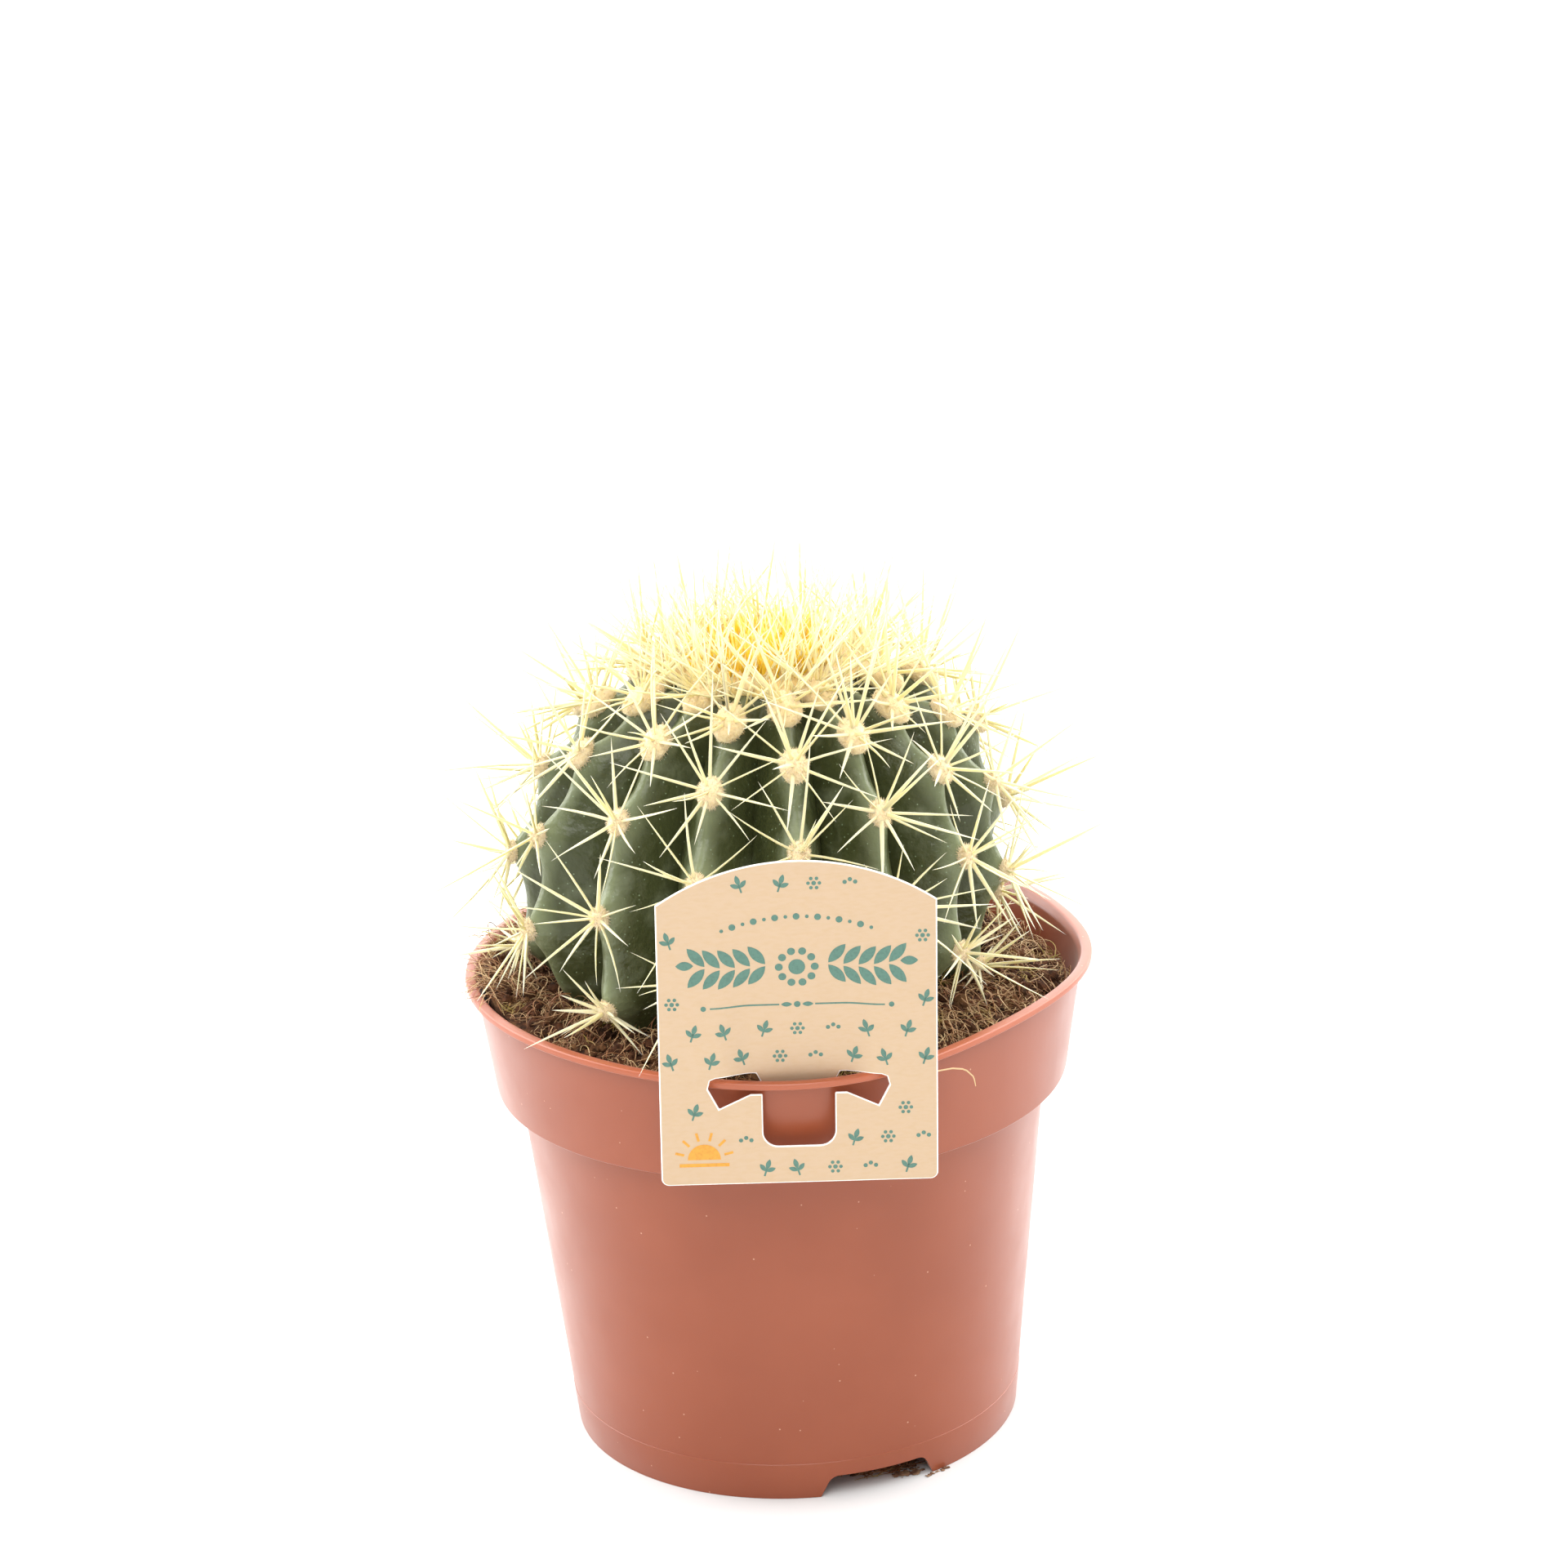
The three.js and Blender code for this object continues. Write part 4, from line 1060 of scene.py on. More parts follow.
def fibre_piece(name, paths, widths, tones, model):
    """Thin strands along paths, each with its own width and tone."""
    levels = paths.shape[1]
    tangent = unit(np.gradient(paths, axis=1))
    across = unit(np.cross(tangent, [0, 0, 1.0]) + 1e-9)
    up = np.cross(tangent, across)
    taper = 0.35 + 0.65 * np.sin(np.linspace(0.15, 0.92, levels) * math.pi)
    girth = widths[:, None] * taper[None]
    points, faces = swept(model, paths, across, up, girth, girth)
    return mesh_piece(name, points, faces, {"tone": np.repeat(tones, len(model[0]))})


def on_compost(paths, compost, pot):
    """Paths kept out of the compost and inside the pot's wall, with the rim's squeeze."""
    x, y = paths[..., 0].ravel(), paths[..., 1].ravel()
    inside = np.minimum(1, FIBRE_FOOTING / np.hypot(x, y))
    level = compost_surface(x * inside, y * inside, compost, pot).reshape(paths.shape[:-1])
    paths[..., 2] = np.maximum(paths[..., 2], level - FIBRE_SINK)
    limit = wall_radius(paths[..., 2], pot) - FIBRE_WALL_GAP
    paths[..., :2] *= np.minimum(1, limit / np.hypot(paths[..., 0], paths[..., 1]))[..., None]
    return squeezed(paths.reshape(-1, 3), pot).reshape(paths.shape)


def tangled_ground(rng, count, knots):
    """Random places on the compost, half of them gathered in tangles."""
    x, y = open_ground(rng, count, *TANGLED_GROUND)
    tangled = rng.random(count) < TANGLED_SHARE
    knot = rng.integers(0, knots, count)
    x = np.where(tangled, x[knot] + rng.normal(0, TANGLE_SIZE, count), x)
    y = np.where(tangled, y[knot] + rng.normal(0, TANGLE_SIZE, count), y)
    return x, y


def coir_loops(compost, pot, rng, count, levels, radii):
    """Paths of short fibres that curl out of the compost in every direction."""
    x, y = tangled_ground(rng, count, compost.knots)
    radius = rng.uniform(*radii, count)
    height = compost_level(x, y, compost, pot) + radius * rng.uniform(-0.2, 0.5, count)
    first = unit(rng.normal(size=(count, 3)) * [1, 1, 0.5])
    second = unit(np.cross(first, rng.normal(size=(count, 3))))
    span = rng.uniform(*LOOP_SPANS, count)
    turn = rng.uniform(0, 2 * math.pi, count)[:, None] + span[:, None] * np.linspace(0, 1, levels)
    curl = np.cos(turn)[..., None] * first[:, None] + np.sin(turn)[..., None] * second[:, None]
    paths = np.stack([x, y, height], -1)[:, None] + curl * radius[:, None, None]
    return on_compost(paths, compost, pot)


def coir_strands(compost, pot, rng, count, levels):
    """Paths of long fibres that lie crisscross over the compost."""
    x, y = tangled_ground(rng, count, compost.knots)
    reaches = rng.uniform(*CURL_REACHES, count)
    turn = rng.uniform(-math.pi, math.pi, count)
    curls = rng.normal(0, CURL_TURN, count)
    lifts = CURL_LIFT * rng.uniform(0.1, 1.0, count) ** 1.5
    paths = strand_paths(x, y, turn, reaches, curls, lifts, levels)
    paths[..., 2] += compost_level(paths[..., 0], paths[..., 1], compost, pot)
    return on_compost(paths, compost, pot)


def fallen_strands(rng, count, levels):
    """Paths of short fibres that lie flat on the ground under the front notch."""
    turn = np.radians(rng.uniform(*TWIG_DIRECTIONS, count))
    radius = rng.uniform(*TWIG_RADII, count)
    reaches = rng.uniform(*TWIG_REACHES, count)
    heading = turn + math.pi / 2 + rng.normal(0, 0.5, count)
    lifts = rng.uniform(*TWIG_LIFTS, count)
    x, y = radius * np.cos(turn), radius * np.sin(turn)
    paths = strand_paths(x, y, heading, reaches, rng.normal(0, 1, count), lifts, levels)
    paths[..., 2] += TWIG_REST
    paths[..., :2] *= np.minimum(1, TWIG_LIMIT / np.hypot(paths[..., 0], paths[..., 1]))[..., None]
    return paths


def strays(compost, pot, rng, levels):
    """Paths of the fibres that hang over the lip at the left, where the compost is heaped."""
    count, shares = compost.stray_fibres, np.linspace(0, 1, levels)
    turn = np.radians(rng.uniform(*STRAY_DIRECTIONS, count))
    start, end = rng.uniform(*STRAY_STARTS, count), rng.uniform(*STRAY_ENDS, count)
    radius = start[:, None] + (end - start)[:, None] * shares
    heading = turn[:, None] + rng.normal(0, 0.14, count)[:, None] * shares
    top = pot.height + STRAY_GAP + rng.uniform(0, STRAY_RISE, count)
    base = compost_level(start * np.cos(turn), start * np.sin(turn), compost, pot)
    rise = smooth(0, 1, (radius - start[:, None]) / (STRAY_CREST - start)[:, None])
    height = base[:, None] + (top - base)[:, None] * rise
    return np.stack([radius * np.cos(heading), radius * np.sin(heading), height], -1)


def loose_fibre(levels):
    """Path of the one long fibre on the collar beside the label, through its points."""
    points = np.array(LOOSE_FIBRE) * MM
    spots = np.linspace(0, len(points) - 1, levels)
    return np.stack([np.interp(spots, np.arange(len(points)), axis) for axis in points.T], -1)


def coir_pieces(compost, pot, rng):
    """The fibres on the compost, and those that strayed from it."""
    short, long = SHORT_FIBRE_POINTS, LONG_FIBRE_POINTS
    mat = coir_loops(compost, pot, rng, compost.fibres, short, FIBRE_RADII)
    widths = rng.uniform(*FIBRE_WIDTHS, len(mat))
    # The fibres are paler towards the right: painted light, where the compost there is lit more.
    tones = rng.beta(1.2, 1.2, len(mat)) + 0.2 * smooth(-20 * MM, 40 * MM, mat[:, 0, 0])
    yield fibre_piece("coir_fibres", mat, widths, tones, rod_model(3, short))
    fluff = coir_loops(compost, pot, rng, compost.wisps, short - 1, WISP_RADII)
    widths = rng.uniform(*WISP_WIDTHS, len(fluff))
    tones = rng.uniform(0.45, 1, len(fluff))
    yield fibre_piece("coir_wisps", fluff, widths, tones, rod_model(3, short - 1))
    curls = coir_strands(compost, pot, rng, compost.curls, long)
    widths = rng.uniform(*CURL_WIDTHS, len(curls))
    yield fibre_piece("coir_curls", curls, widths, rng.uniform(0.6, 1, len(curls)), rod_model(3, long))
    over_lip = strays(compost, pot, rng, long)
    fallen = fallen_strands(rng, compost.litter // 3, long)
    loose = np.concatenate([over_lip, fallen, loose_fibre(long)[None]])
    widths = np.append(rng.uniform(*STRAY_WIDTHS, len(loose) - 1), LOOSE_FIBRE_WIDTH)
    tones = np.append(rng.uniform(0.5, 1, len(over_lip)), rng.uniform(0.3, 0.8, len(fallen)))
    yield fibre_piece("stray_fibres", loose, widths, np.append(tones, 1), rod_model(3, long))


class CACTUS_OT_compost(Operator):
    """Fills the pot with compost, crumbs of peat and coir fibres"""

    bl_idname = "cactus.compost"
    bl_label = "Compost"

    def execute(self, context):
        compost, pot = context.scene.cactus_compost, context.scene.cactus_pot
        rng = np.random.default_rng(COMPOST_SEED)
        earth = peat(compost)
        finish_piece(compost_body(compost, pot), [earth], "soil", 60)
        finish_piece(surface_crumbs(compost, pot, rng), [earth], "soil", 35)
        finish_piece(fallen_litter(compost, rng), [dry_bark(compost)], "soil", 60)
        strands = coir(compost)
        for piece in coir_pieces(compost, pot, rng):
            finish_piece(piece, [strands], "soil", 60)
        return {"FINISHED"}


# ---- cactus ----


def areoles_on(rib, between=AREOLE_RANGE):
    """Distances of a rib's areoles from the apex, between two distances."""
    growth = np.exp(AREOLE_GROWTH * (np.arange(AREOLE_STEPS) + RIBS[rib][1])) - 1
    places = AREOLE_FIRST_STEP / AREOLE_GROWTH * growth
    return places[(places > between[0]) & (places < between[1])]


class Barrel:
    """The stem's form: a leaning, slightly squared ball whose crests carry the areoles."""

    def __init__(self, stem):
        """Works out the crests' outline from the apex down, as a line of short steps."""
        self.stem = stem
        angle = (0.5 - np.linspace(0, 1, OUTLINE_STEPS + 1)) * math.pi
        up, power = np.sin(angle), 2 / SQUARENESS
        reach = np.where(up > 0, stem.above, stem.below)
        self.radius = stem.radius * np.maximum(0, np.cos(angle)) ** power
        self.height = stem.centre_height + reach * np.sign(up) * np.abs(up) ** power
        run, drop = np.diff(self.radius), -np.diff(self.height)
        step = np.hypot(run, drop)
        self.along = np.concatenate([[0], np.cumsum(step)])
        self.middles = (self.along[1:] + self.along[:-1]) / 2
        self.outward, self.upward = drop / step, run / step
        self.length = self.along[-1]

    def crest_at(self, along):
        """Radius, height, and the outward normal's two parts, at distances from the apex."""
        return (
            np.interp(along, self.along, self.radius),
            np.interp(along, self.along, self.height),
            np.interp(along, self.middles, self.outward),
            np.interp(along, self.middles, self.upward),
        )

    def skin_point(self, direction, along, rise):
        """A point of the skin, its direction in degrees from the front, lifted by rise."""
        radius, height, outward, upward = self.crest_at(along)
        reach, level = radius + rise * outward, height + rise * upward
        turn = np.radians(np.asarray(direction) - 90)
        x = self.stem.centre_x + reach * np.cos(turn)
        x = x + self.stem.lean * (level - self.stem.centre_height)
        y, z = np.broadcast_arrays(reach * np.sin(turn), level)
        return np.stack([x, y, z], -1)

    def swelling(self, rib, along):
        """1 at each of a rib's areoles, and next to nothing halfway between them."""
        off = (np.asarray(along)[..., None] - areoles_on(rib)) / TUBERCLE_LENGTH
        return np.exp(-(off**2)).sum(-1)

    def skin_rise(self, rib, from_crest, along):
        """How far the skin lies out from the crests' outline, in a furrow or on a tubercle."""
        radius, height, _, _ = self.crest_at(along)
        opened = smooth(*FURROWS_END, height) * smooth(*FURROWS_BEGIN, along)
        crest = FURROW_ROUNDING ** (2 * FURROW_POWER)
        floor = (1 + FURROW_ROUNDING**2) ** FURROW_POWER
        profile = ((from_crest**2 + FURROW_ROUNDING**2) ** FURROW_POWER - crest) / (floor - crest)
        swelling = self.swelling(rib, along) * (1 - from_crest)
        return opened * (self.stem.tubercle * swelling - self.stem.furrow * radius * profile)

    def axes(self, direction, along):
        """Across the rib, up along it, and out of the skin."""
        turn = math.radians(direction - 90)
        _, _, outward, upward = self.crest_at(along)
        out = unit(np.array([outward * math.cos(turn), outward * math.sin(turn), upward]))
        across = np.array([-math.sin(turn), math.cos(turn), 0.0])
        return across, np.cross(out, across), out

    def areoles(self):
        """Every areole: its rib, its distance from the apex, its foot and its axes."""
        found = []
        for rib, (direction, _) in enumerate(RIBS):
            for along in areoles_on(rib):
                foot = self.skin_point(direction, along, self.skin_rise(rib, 0.0, along))
                found.append((rib, along, foot, *self.axes(direction, along)))
        return found


def stem_piece(barrel, soil_level):
    """The ribbed stem, whose crests are marked for the painted highlight in the skin's colour."""
    soil_line = barrel.along[np.argmax(barrel.height < soil_level - STEM_SINK)]
    above = np.linspace(0, soil_line, ROWS_ABOVE)
    below = np.linspace(soil_line, barrel.length, ROWS_BELOW)
    inner = np.concatenate([above[1:], below[1:-1]])
    rings, crests = [], []
    for rib, (direction, _) in enumerate(RIBS):
        following = (rib + 1) % len(RIBS)
        pitch = (RIBS[following][0] - direction) % 360
        for share in np.arange(COLUMNS_PER_RIB) / COLUMNS_PER_RIB:
            owner = following if share > 0.5 else rib
            from_crest = 1 - abs(1 - 2 * share)
            rise = barrel.skin_rise(owner, from_crest, inner)
            rings.append(barrel.skin_point(direction + pitch * share, inner, rise))
            # Painted highlight: crests paler, and more so on the swelling under each areole.
            tone = CREST_PAINTED_HIGHLIGHT + TUBERCLE_PAINTED_HIGHLIGHT * barrel.swelling(owner, inner)
            crests.append((1 - from_crest) * tone)
    columns, count = len(rings), len(inner)
    points = np.stack(rings).reshape(-1, 3)
    points = points * (1 + SKIN_LUMPS * lumpy(points, SKIN_LUMP_SIZE, seed=1))[:, None]
    poles = [barrel.skin_point(0, 0, 0), barrel.skin_point(0, barrel.length, 0)]
    crest = np.concatenate([np.concatenate(crests), [0, 0]])
    faces = []
    for i in range(columns):
        here, there = i * count, ((i + 1) % columns) * count
        faces += [[here + j, here + j + 1, there + j + 1, there + j] for j in range(count - 1)]
        faces.append([columns * count, here, there])
        faces.append([columns * count + 1, there + count - 1, here + count - 1])
    return mesh_piece("cactus_stem", np.concatenate([points, poles]), faces, {"crest": crest})


class CACTUS_OT_stem(Operator):
    """Grows the ribbed green stem"""

    bl_idname = "cactus.stem"
    bl_label = "Stem"

    def execute(self, context):
        stem = context.scene.cactus_stem
        piece = stem_piece(Barrel(stem), context.scene.cactus_compost.stem_height)
        finish_piece(piece, [cuticle(stem)], "cactus", 70)
        return {"FINISHED"}


def felt_size(along, spines):
    """Half width, thickness and length of an areole's felt: largest and freshest at the crown."""
    scale = 1.5 - 0.65 * smooth(15 * MM, 60 * MM, along)
    longer = (1 + scale) / 2
    return np.array([spines.felt_width, FELT_THICKNESS, spines.felt_length * longer]) * scale


def hair_points(rng, model, centres, sizes, axes, per_tuft, reach):
    """Hairs that stand out of ellipsoid tufts, as points of copies of one hair."""
    count = len(centres) * per_tuft
    aims = unit(rng.normal(size=(count, 3)))
    axes = np.repeat(axes, per_tuft, 0)
    sizes = np.repeat(sizes, per_tuft, 0)
    outward = np.einsum("kij,ki->kj", axes, aims)
    roots = np.einsum("kij,ki->kj", axes, aims * sizes * HAIR_ROOTS)
    feet = np.repeat(centres, per_tuft, 0) + roots
    lean = unit(outward + HAIR_MESS * rng.normal(size=(count, 3)))
    side = unit(np.cross(lean, [0.3, 0.5, 0.8]))
    third = np.cross(lean, side)
    lengths = rng.uniform(*HAIR_LENGTHS, count) * reach
    points = model[0]
    placed = (
        feet[:, None]
        + lean[:, None] * (points[:, 2] * lengths[:, None])[..., None]
        + side[:, None] * (points[None, :, :1] * HAIR_RADIUS)
        + third[:, None] * (points[None, :, 1:2] * HAIR_RADIUS)
    )
    return copies(model, placed)


def tuft_piece(name, rng, centres, sizes, axes, gold, per_tuft, reach):
    """Matted felt: an uneven lump for each tuft, with short hairs all over it. gold says how
    golden each tuft is."""
    lump = lump_model(2, seed=2, unevenness=0.1)
    placed = np.einsum("kij,kni->knj", axes, lump[0][None] * sizes[:, None] * FELT_FILL)
    lumps, lump_faces = copies(lump, placed + centres[:, None])
    hairs, hair_faces = hair_points(rng, hair_model(), centres, sizes, axes, per_tuft, reach)
    points = np.concatenate([lumps, hairs])
    golden = np.concatenate([np.repeat(gold, len(part) // len(gold)) for part in (lumps, hairs)])
    faces = np.concatenate([lump_faces, hair_faces + len(lumps)])
    return mesh_piece(name, points, faces, {"gold": golden})


class CACTUS_OT_areoles(Operator):
    """Puts a pad of matted felt on every areole"""

    bl_idname = "cactus.areoles"
    bl_label = "Areoles"

    def execute(self, context):
        spines = context.scene.cactus_spines
        places = Barrel(context.scene.cactus_stem).areoles()
        centres = np.array([foot for _, _, foot, *_ in places])
        axes = np.array([[-across, out, up] for *_, across, up, out in places])
        sizes = np.array([felt_size(along, spines) for _, along, *_ in places])
        rng = np.random.default_rng(FELT_SEED)
        gold = np.array([0.16 * (1 - smooth(*YOUNG, along)) for _, along, *_ in places])
        hairs = spines.felt_hairs
        piece = tuft_piece("areole_felt", rng, centres, sizes, axes, gold, hairs, FELT_HAIR)
        finish_piece(piece, [felt(spines)], "cactus", 60)
        return {"FINISHED"}


def bend_of(foot, aim, reach, ground):
    """Which way a spine that would run into its surroundings bends, or None."""
    tip = foot + aim * reach
    for axis in range(3):
        low, high = SPINES_LOW[axis], SPINES_HIGH[axis]
        if axis < 2 and not low < tip[axis] < high or axis == 2 and tip[axis] > high:
            return -np.sign(tip[axis]) * np.eye(3)[axis]
    shares = np.linspace(0.2, 1, 5)
    points = foot + aim * reach * shares[:, None]
    near = points[:, 1] < CARD_PLACE.y + BEND_BACK + SPINE_CLEARANCE + CARD_BACK
    behind = np.abs(points[:, 0] - CARD_PLACE.x - MM) < CARD_HALF + SPINE_CLEARANCE
    under = points[:, 2] < CARD_PLACE.z + CARD_REACH
    if np.any(near & behind & under):
        return np.array([0.0, 1.0, 0.0])
    if np.any(points[:, 2] < ground(points[:, 0], points[:, 1]) + SPINE_CLEARANCE):
        return np.array([0.0, 0.0, 1.0])
    return None


def bent_clear(foot, aim, reach, ground):
    """A spine's direction, bent until it is clear of compost, pot and label."""
    for _ in range(SPINE_BENDS):
        bend = bend_of(foot, aim, reach, ground)
        if bend is None:
            break
        aim = unit(aim + bend * SPINE_BEND_STEP)
    return aim


def ground_under(context):
    """The highest that compost or pot reaches, as a function of x and y."""
    compost, pot = context.scene.cactus_compost, context.scene.cactus_pot

    def ground(x, y):
        """Height of the lip beside the compost, and of the compost elsewhere."""
        level = compost_level(x, y, compost, pot) + compost.roughness
        return np.where(np.hypot(x, y) > pot.collar_foot - pot.wall, pot.height, level)

    return ground


def needle_piece(name, rng, feet, aims, reaches, half_width, gold):
    """Slender flattened needles with a slight bow. gold says how golden each one's root is, and
    how far up it the gold goes."""
    shares, levels = NEEDLE_SHARES, len(NEEDLE_SHARES)
    model = rod_model(NEEDLE_SIDES, levels)
    side = unit(np.cross(aims, rng.normal(size=aims.shape)))
    bow = side * (rng.normal(0, NEEDLE_BOW, len(aims)) * reaches)[:, None]
    paths = feet[:, None] + aims[:, None] * (shares * reaches[:, None])[..., None]
    paths = paths + bow[:, None] * (4 * shares * (1 - shares))[None, :, None]
    across = np.repeat(unit(np.cross(side, aims))[:, None], levels, 1)
    up = np.repeat(side[:, None], levels, 1)
    widths = half_width[:, None] * np.maximum(NEEDLE_TIP, (1 - shares**2.2) ** 0.85)
    points, faces = swept(model, paths, across, up, widths, widths * NEEDLE_FLATNESS)
    model_levels = np.rint(model[0][:, 2]).astype(int)
    golden = np.minimum(1, gold[:, None] * (1 - shares[model_levels]) ** 1.3)
    return mesh_piece(name, points, faces, {"gold": golden.ravel()})


def spine_fan(rng, spines, areole):
    """Directions and lengths of an areole's radial and central spines."""
    _, along, _, across, up, out = areole
    young = 1 - smooth(*YOUNG_FAN, along)
    grown = (1 + 0.15 * young) * (1 - 0.32 * smooth(*LOW_FAN, along))
    radials = spines.radials + rng.integers(0, 2) + round(2 * float(young))
    start = rng.uniform(0, 2 * math.pi / radials)
    fan = []
    for i in range(radials):
        jitter = rng.uniform(-RADIAL_JITTER, RADIAL_JITTER)
        turn = start + 2 * math.pi * (i + jitter) / radials
        lift = math.radians(rng.uniform(*RADIAL_LIFTS) + YOUNG_LIFT * young)
        aim = across * math.cos(turn) * math.cos(lift) + up * math.sin(turn) * math.cos(lift)
        # Spines that point down the rib stay shorter than those that point up or sideways.
        reach = rng.uniform(spines.radial_short, spines.radial_long) * (1 + 0.12 * math.sin(turn))
        fan.append((aim + out * math.sin(lift), reach * grown))
    # The first central spine points down, and the others point up.
    for i in range(spines.centrals + rng.integers(0, 2) + (young > 0.5)):
        tilt = -0.5 if i == 0 else 0.35
        aim = out + up * (tilt + rng.uniform(-0.2, 0.2)) + across * rng.uniform(-0.45, 0.45)
        reach = rng.uniform(spines.central_short, spines.central_long)
        fan.append((unit(aim), reach * min(1, grown)))
    return fan


class CACTUS_OT_spines(Operator):
    """Sets a star of spines in every areole"""

    bl_idname = "cactus.spines"
    bl_label = "Spines"

    def execute(self, context):
        spines = context.scene.cactus_spines
        ground = ground_under(context)
        rng = np.random.default_rng(SPINE_SEED)
        feet, aims, reaches, gold = [], [], [], []
        for areole in Barrel(context.scene.cactus_stem).areoles():
            _, along, foot, _, _, out = areole
            for aim, reach in spine_fan(rng, spines, areole):
                root = foot + out * SPINE_ROOT
                aims.append(bent_clear(root, aim, reach, ground))
                feet.append(root)
                reaches.append(reach)
                gold.append(0.08 + 0.2 * (1 - smooth(*YOUNG, along)))
        widths = spines.half_width * rng.uniform(0.8, 1.15, len(feet))
        feet, aims, reaches = np.array(feet), np.array(aims), np.array(reaches)
        piece = needle_piece("areole_spines", rng, feet, aims, reaches, widths, np.array(gold))
        finish_piece(piece, [spine_horn(spines)], "cactus", 50)
        return {"FINISHED"}


def crown_wool(barrel, crown, spines):
    """The golden felt of the apex, and the paler felt of the young areoles round it."""
    apex = barrel.skin_point(0, 0, 0)
    upright = [[1.0, 0, 0], [0, 0, 1.0], [0, -1.0, 0]]
    centres = [apex, apex - np.array([0, 0, OUTER_WOOL_DROP])]
    inner = np.array([crown.wool_width, crown.wool_height, crown.wool_width])
    sizes = [inner, inner * OUTER_WOOL]
    axes = [upright, upright]
    gold = [1.0, 0.4]
    for rib, (direction, _) in enumerate(RIBS):
        for along in areoles_on(rib, YOUNG_AREOLES):
            across, up, out = barrel.axes(direction, along)
            centres.append(barrel.skin_point(direction, along, 0.4 * MM))
            sizes.append([1.25 * spines.felt_width, 1.9 * MM, 1.15 * spines.felt_length])
            axes.append([-across, out, up])
            gold.append(0.5 * float(1 - smooth(8 * MM, 17 * MM, along)))
    arrays = np.array(centres), np.array(sizes), np.array(axes), np.array(gold)
    rng = np.random.default_rng(WOOL_SEED)
    return tuft_piece("crown_wool", rng, *arrays, crown.wool_hairs, WOOL_HAIR)


def crown_needles(name, barrel, ground, rng, places, reaches, scatter, half_width, gold):
    """Close young spines round the apex, which lean outwards and cross each other."""
    feet, aims = [], []
    for i, along in enumerate(places):
        direction = math.degrees(GOLDEN_TURN * i)
        foot = barrel.skin_point(direction, along, -CROWN_ROOT)
        across, up, out = barrel.axes(direction, along)
        lean, side = rng.normal(0, scatter, 2)
        aim = unit(out - up * (lean + CROWN_SPREAD * along) + across * side)
        feet.append(foot)
        aims.append(bent_clear(foot, aim, reaches[i], ground))
    widths = half_width * rng.uniform(0.75, 1.05, len(feet))
    gold = gold * rng.uniform(0.7, 1.0, len(feet))
    return needle_piece(name, rng, np.array(feet), np.array(aims), reaches, widths, gold)


class CACTUS_OT_crown(Operator):
    """Grows the crown: wool, a tuft of new golden spines, and pale spines that cross over it"""

    bl_idname = "cactus.crown"
    bl_label = "Crown"

    def execute(self, context):
        crown, spines = context.scene.cactus_crown, context.scene.cactus_spines
        barrel, ground = Barrel(context.scene.cactus_stem), ground_under(context)
        wool = crown_wool(barrel, crown, spines)
        finish_piece(wool, [felt(spines)], "cactus", 60)
        rng = np.random.default_rng(CROWN_SEED)
        horn = spine_horn(spines)
        width = spines.half_width
        shares = np.sqrt((np.arange(crown.tuft_spines) + 0.5) / crown.tuft_spines)
        reaches = rng.uniform(crown.tuft_short, crown.tuft_long, crown.tuft_spines)
        places = crown.tuft_radius * shares
        tuft = crown_needles(
            "golden_tuft", barrel, ground, rng, places, reaches,
            scatter=0.28, half_width=1.05 * width, gold=4.5,
        )
        finish_piece(tuft, [horn], "cactus", 50)
        shares = np.sqrt((np.arange(crown.spines) + 0.5) / crown.spines)
        reaches = rng.uniform(crown.short, crown.long, crown.spines)
        places = crown.radius * (CROWN_HOLLOW + (1 - CROWN_HOLLOW) * shares)
        pale = crown_needles(
            "crown_spines", barrel, ground, rng, places, reaches,
            scatter=0.45, half_width=0.55 * width, gold=0.1,
        )
        finish_piece(pale, [horn], "cactus", 50)
        return {"FINISHED"}


# ---- label ----


def arc(centre, radius, start, end, steps):
    """Points of an arc between two angles in degrees."""
    angles = np.radians(np.linspace(start, end, steps + 1))
    return [(centre[0] + radius * math.cos(a), centre[1] + radius * math.sin(a)) for a in angles]


def card_outline(label):
    """The card's outline, anticlockwise from its lower left corner."""
    half, rise = label.width / 2, label.height - label.side
    arch_radius = (half * half + rise * rise) / (2 * rise)
    arch_half = math.degrees(math.asin(half / arch_radius))
    arch_centre = (0, label.height - arch_radius)
    corner = CARD_CORNER
    return [
        *arc((-half + corner, corner), corner, 180, 270, 8),
        *arc((half - corner, corner), corner, -90, 0, 8),
        *arc(arch_centre, arch_radius, 90 - arch_half, 90 + arch_half, 48),
    ]


def slot_outline():
    """The slot with its flared ends, and the window that the tongue was cut from."""
    right = [
        (SLOT_TOP_ENDS[0], SLOT_TOP),
        (SLOT_TOP_ENDS[1] - SLOT_TOP_CORNER[0], SLOT_TOP),
        (SLOT_TOP_ENDS[1], SLOT_TOP - SLOT_TOP_CORNER[1]),
        SLOT_TIP,
        SLOT_LOW,
        SLOT_INNER,
        (WINDOW_HALF, SLOT_INNER[1]),
        *arc(
            (WINDOW_HALF - WINDOW_CORNER, WINDOW_BOTTOM + WINDOW_CORNER), WINDOW_CORNER, 0, -90, 8
        ),
    ]
    return [(-x, z) for x, z in right] + right[::-1]


def tongue_outline():
    """The tongue, which is the window less the die's cut, and runs up into the card."""
    half, bottom = WINDOW_HALF - TONGUE_CUT, WINDOW_BOTTOM + TONGUE_CUT
    corner = WINDOW_CORNER - TONGUE_CUT
    right = [
        (SLOT_TOP_ENDS[0], SLOT_TOP + MM),
        (SLOT_TOP_ENDS[0], SLOT_TOP),
        (half, SLOT_INNER[1]),
        *arc((half - corner, bottom + corner), corner, 0, -90, 8),
    ]
    return [(-x, z) for x, z in right] + right[::-1]


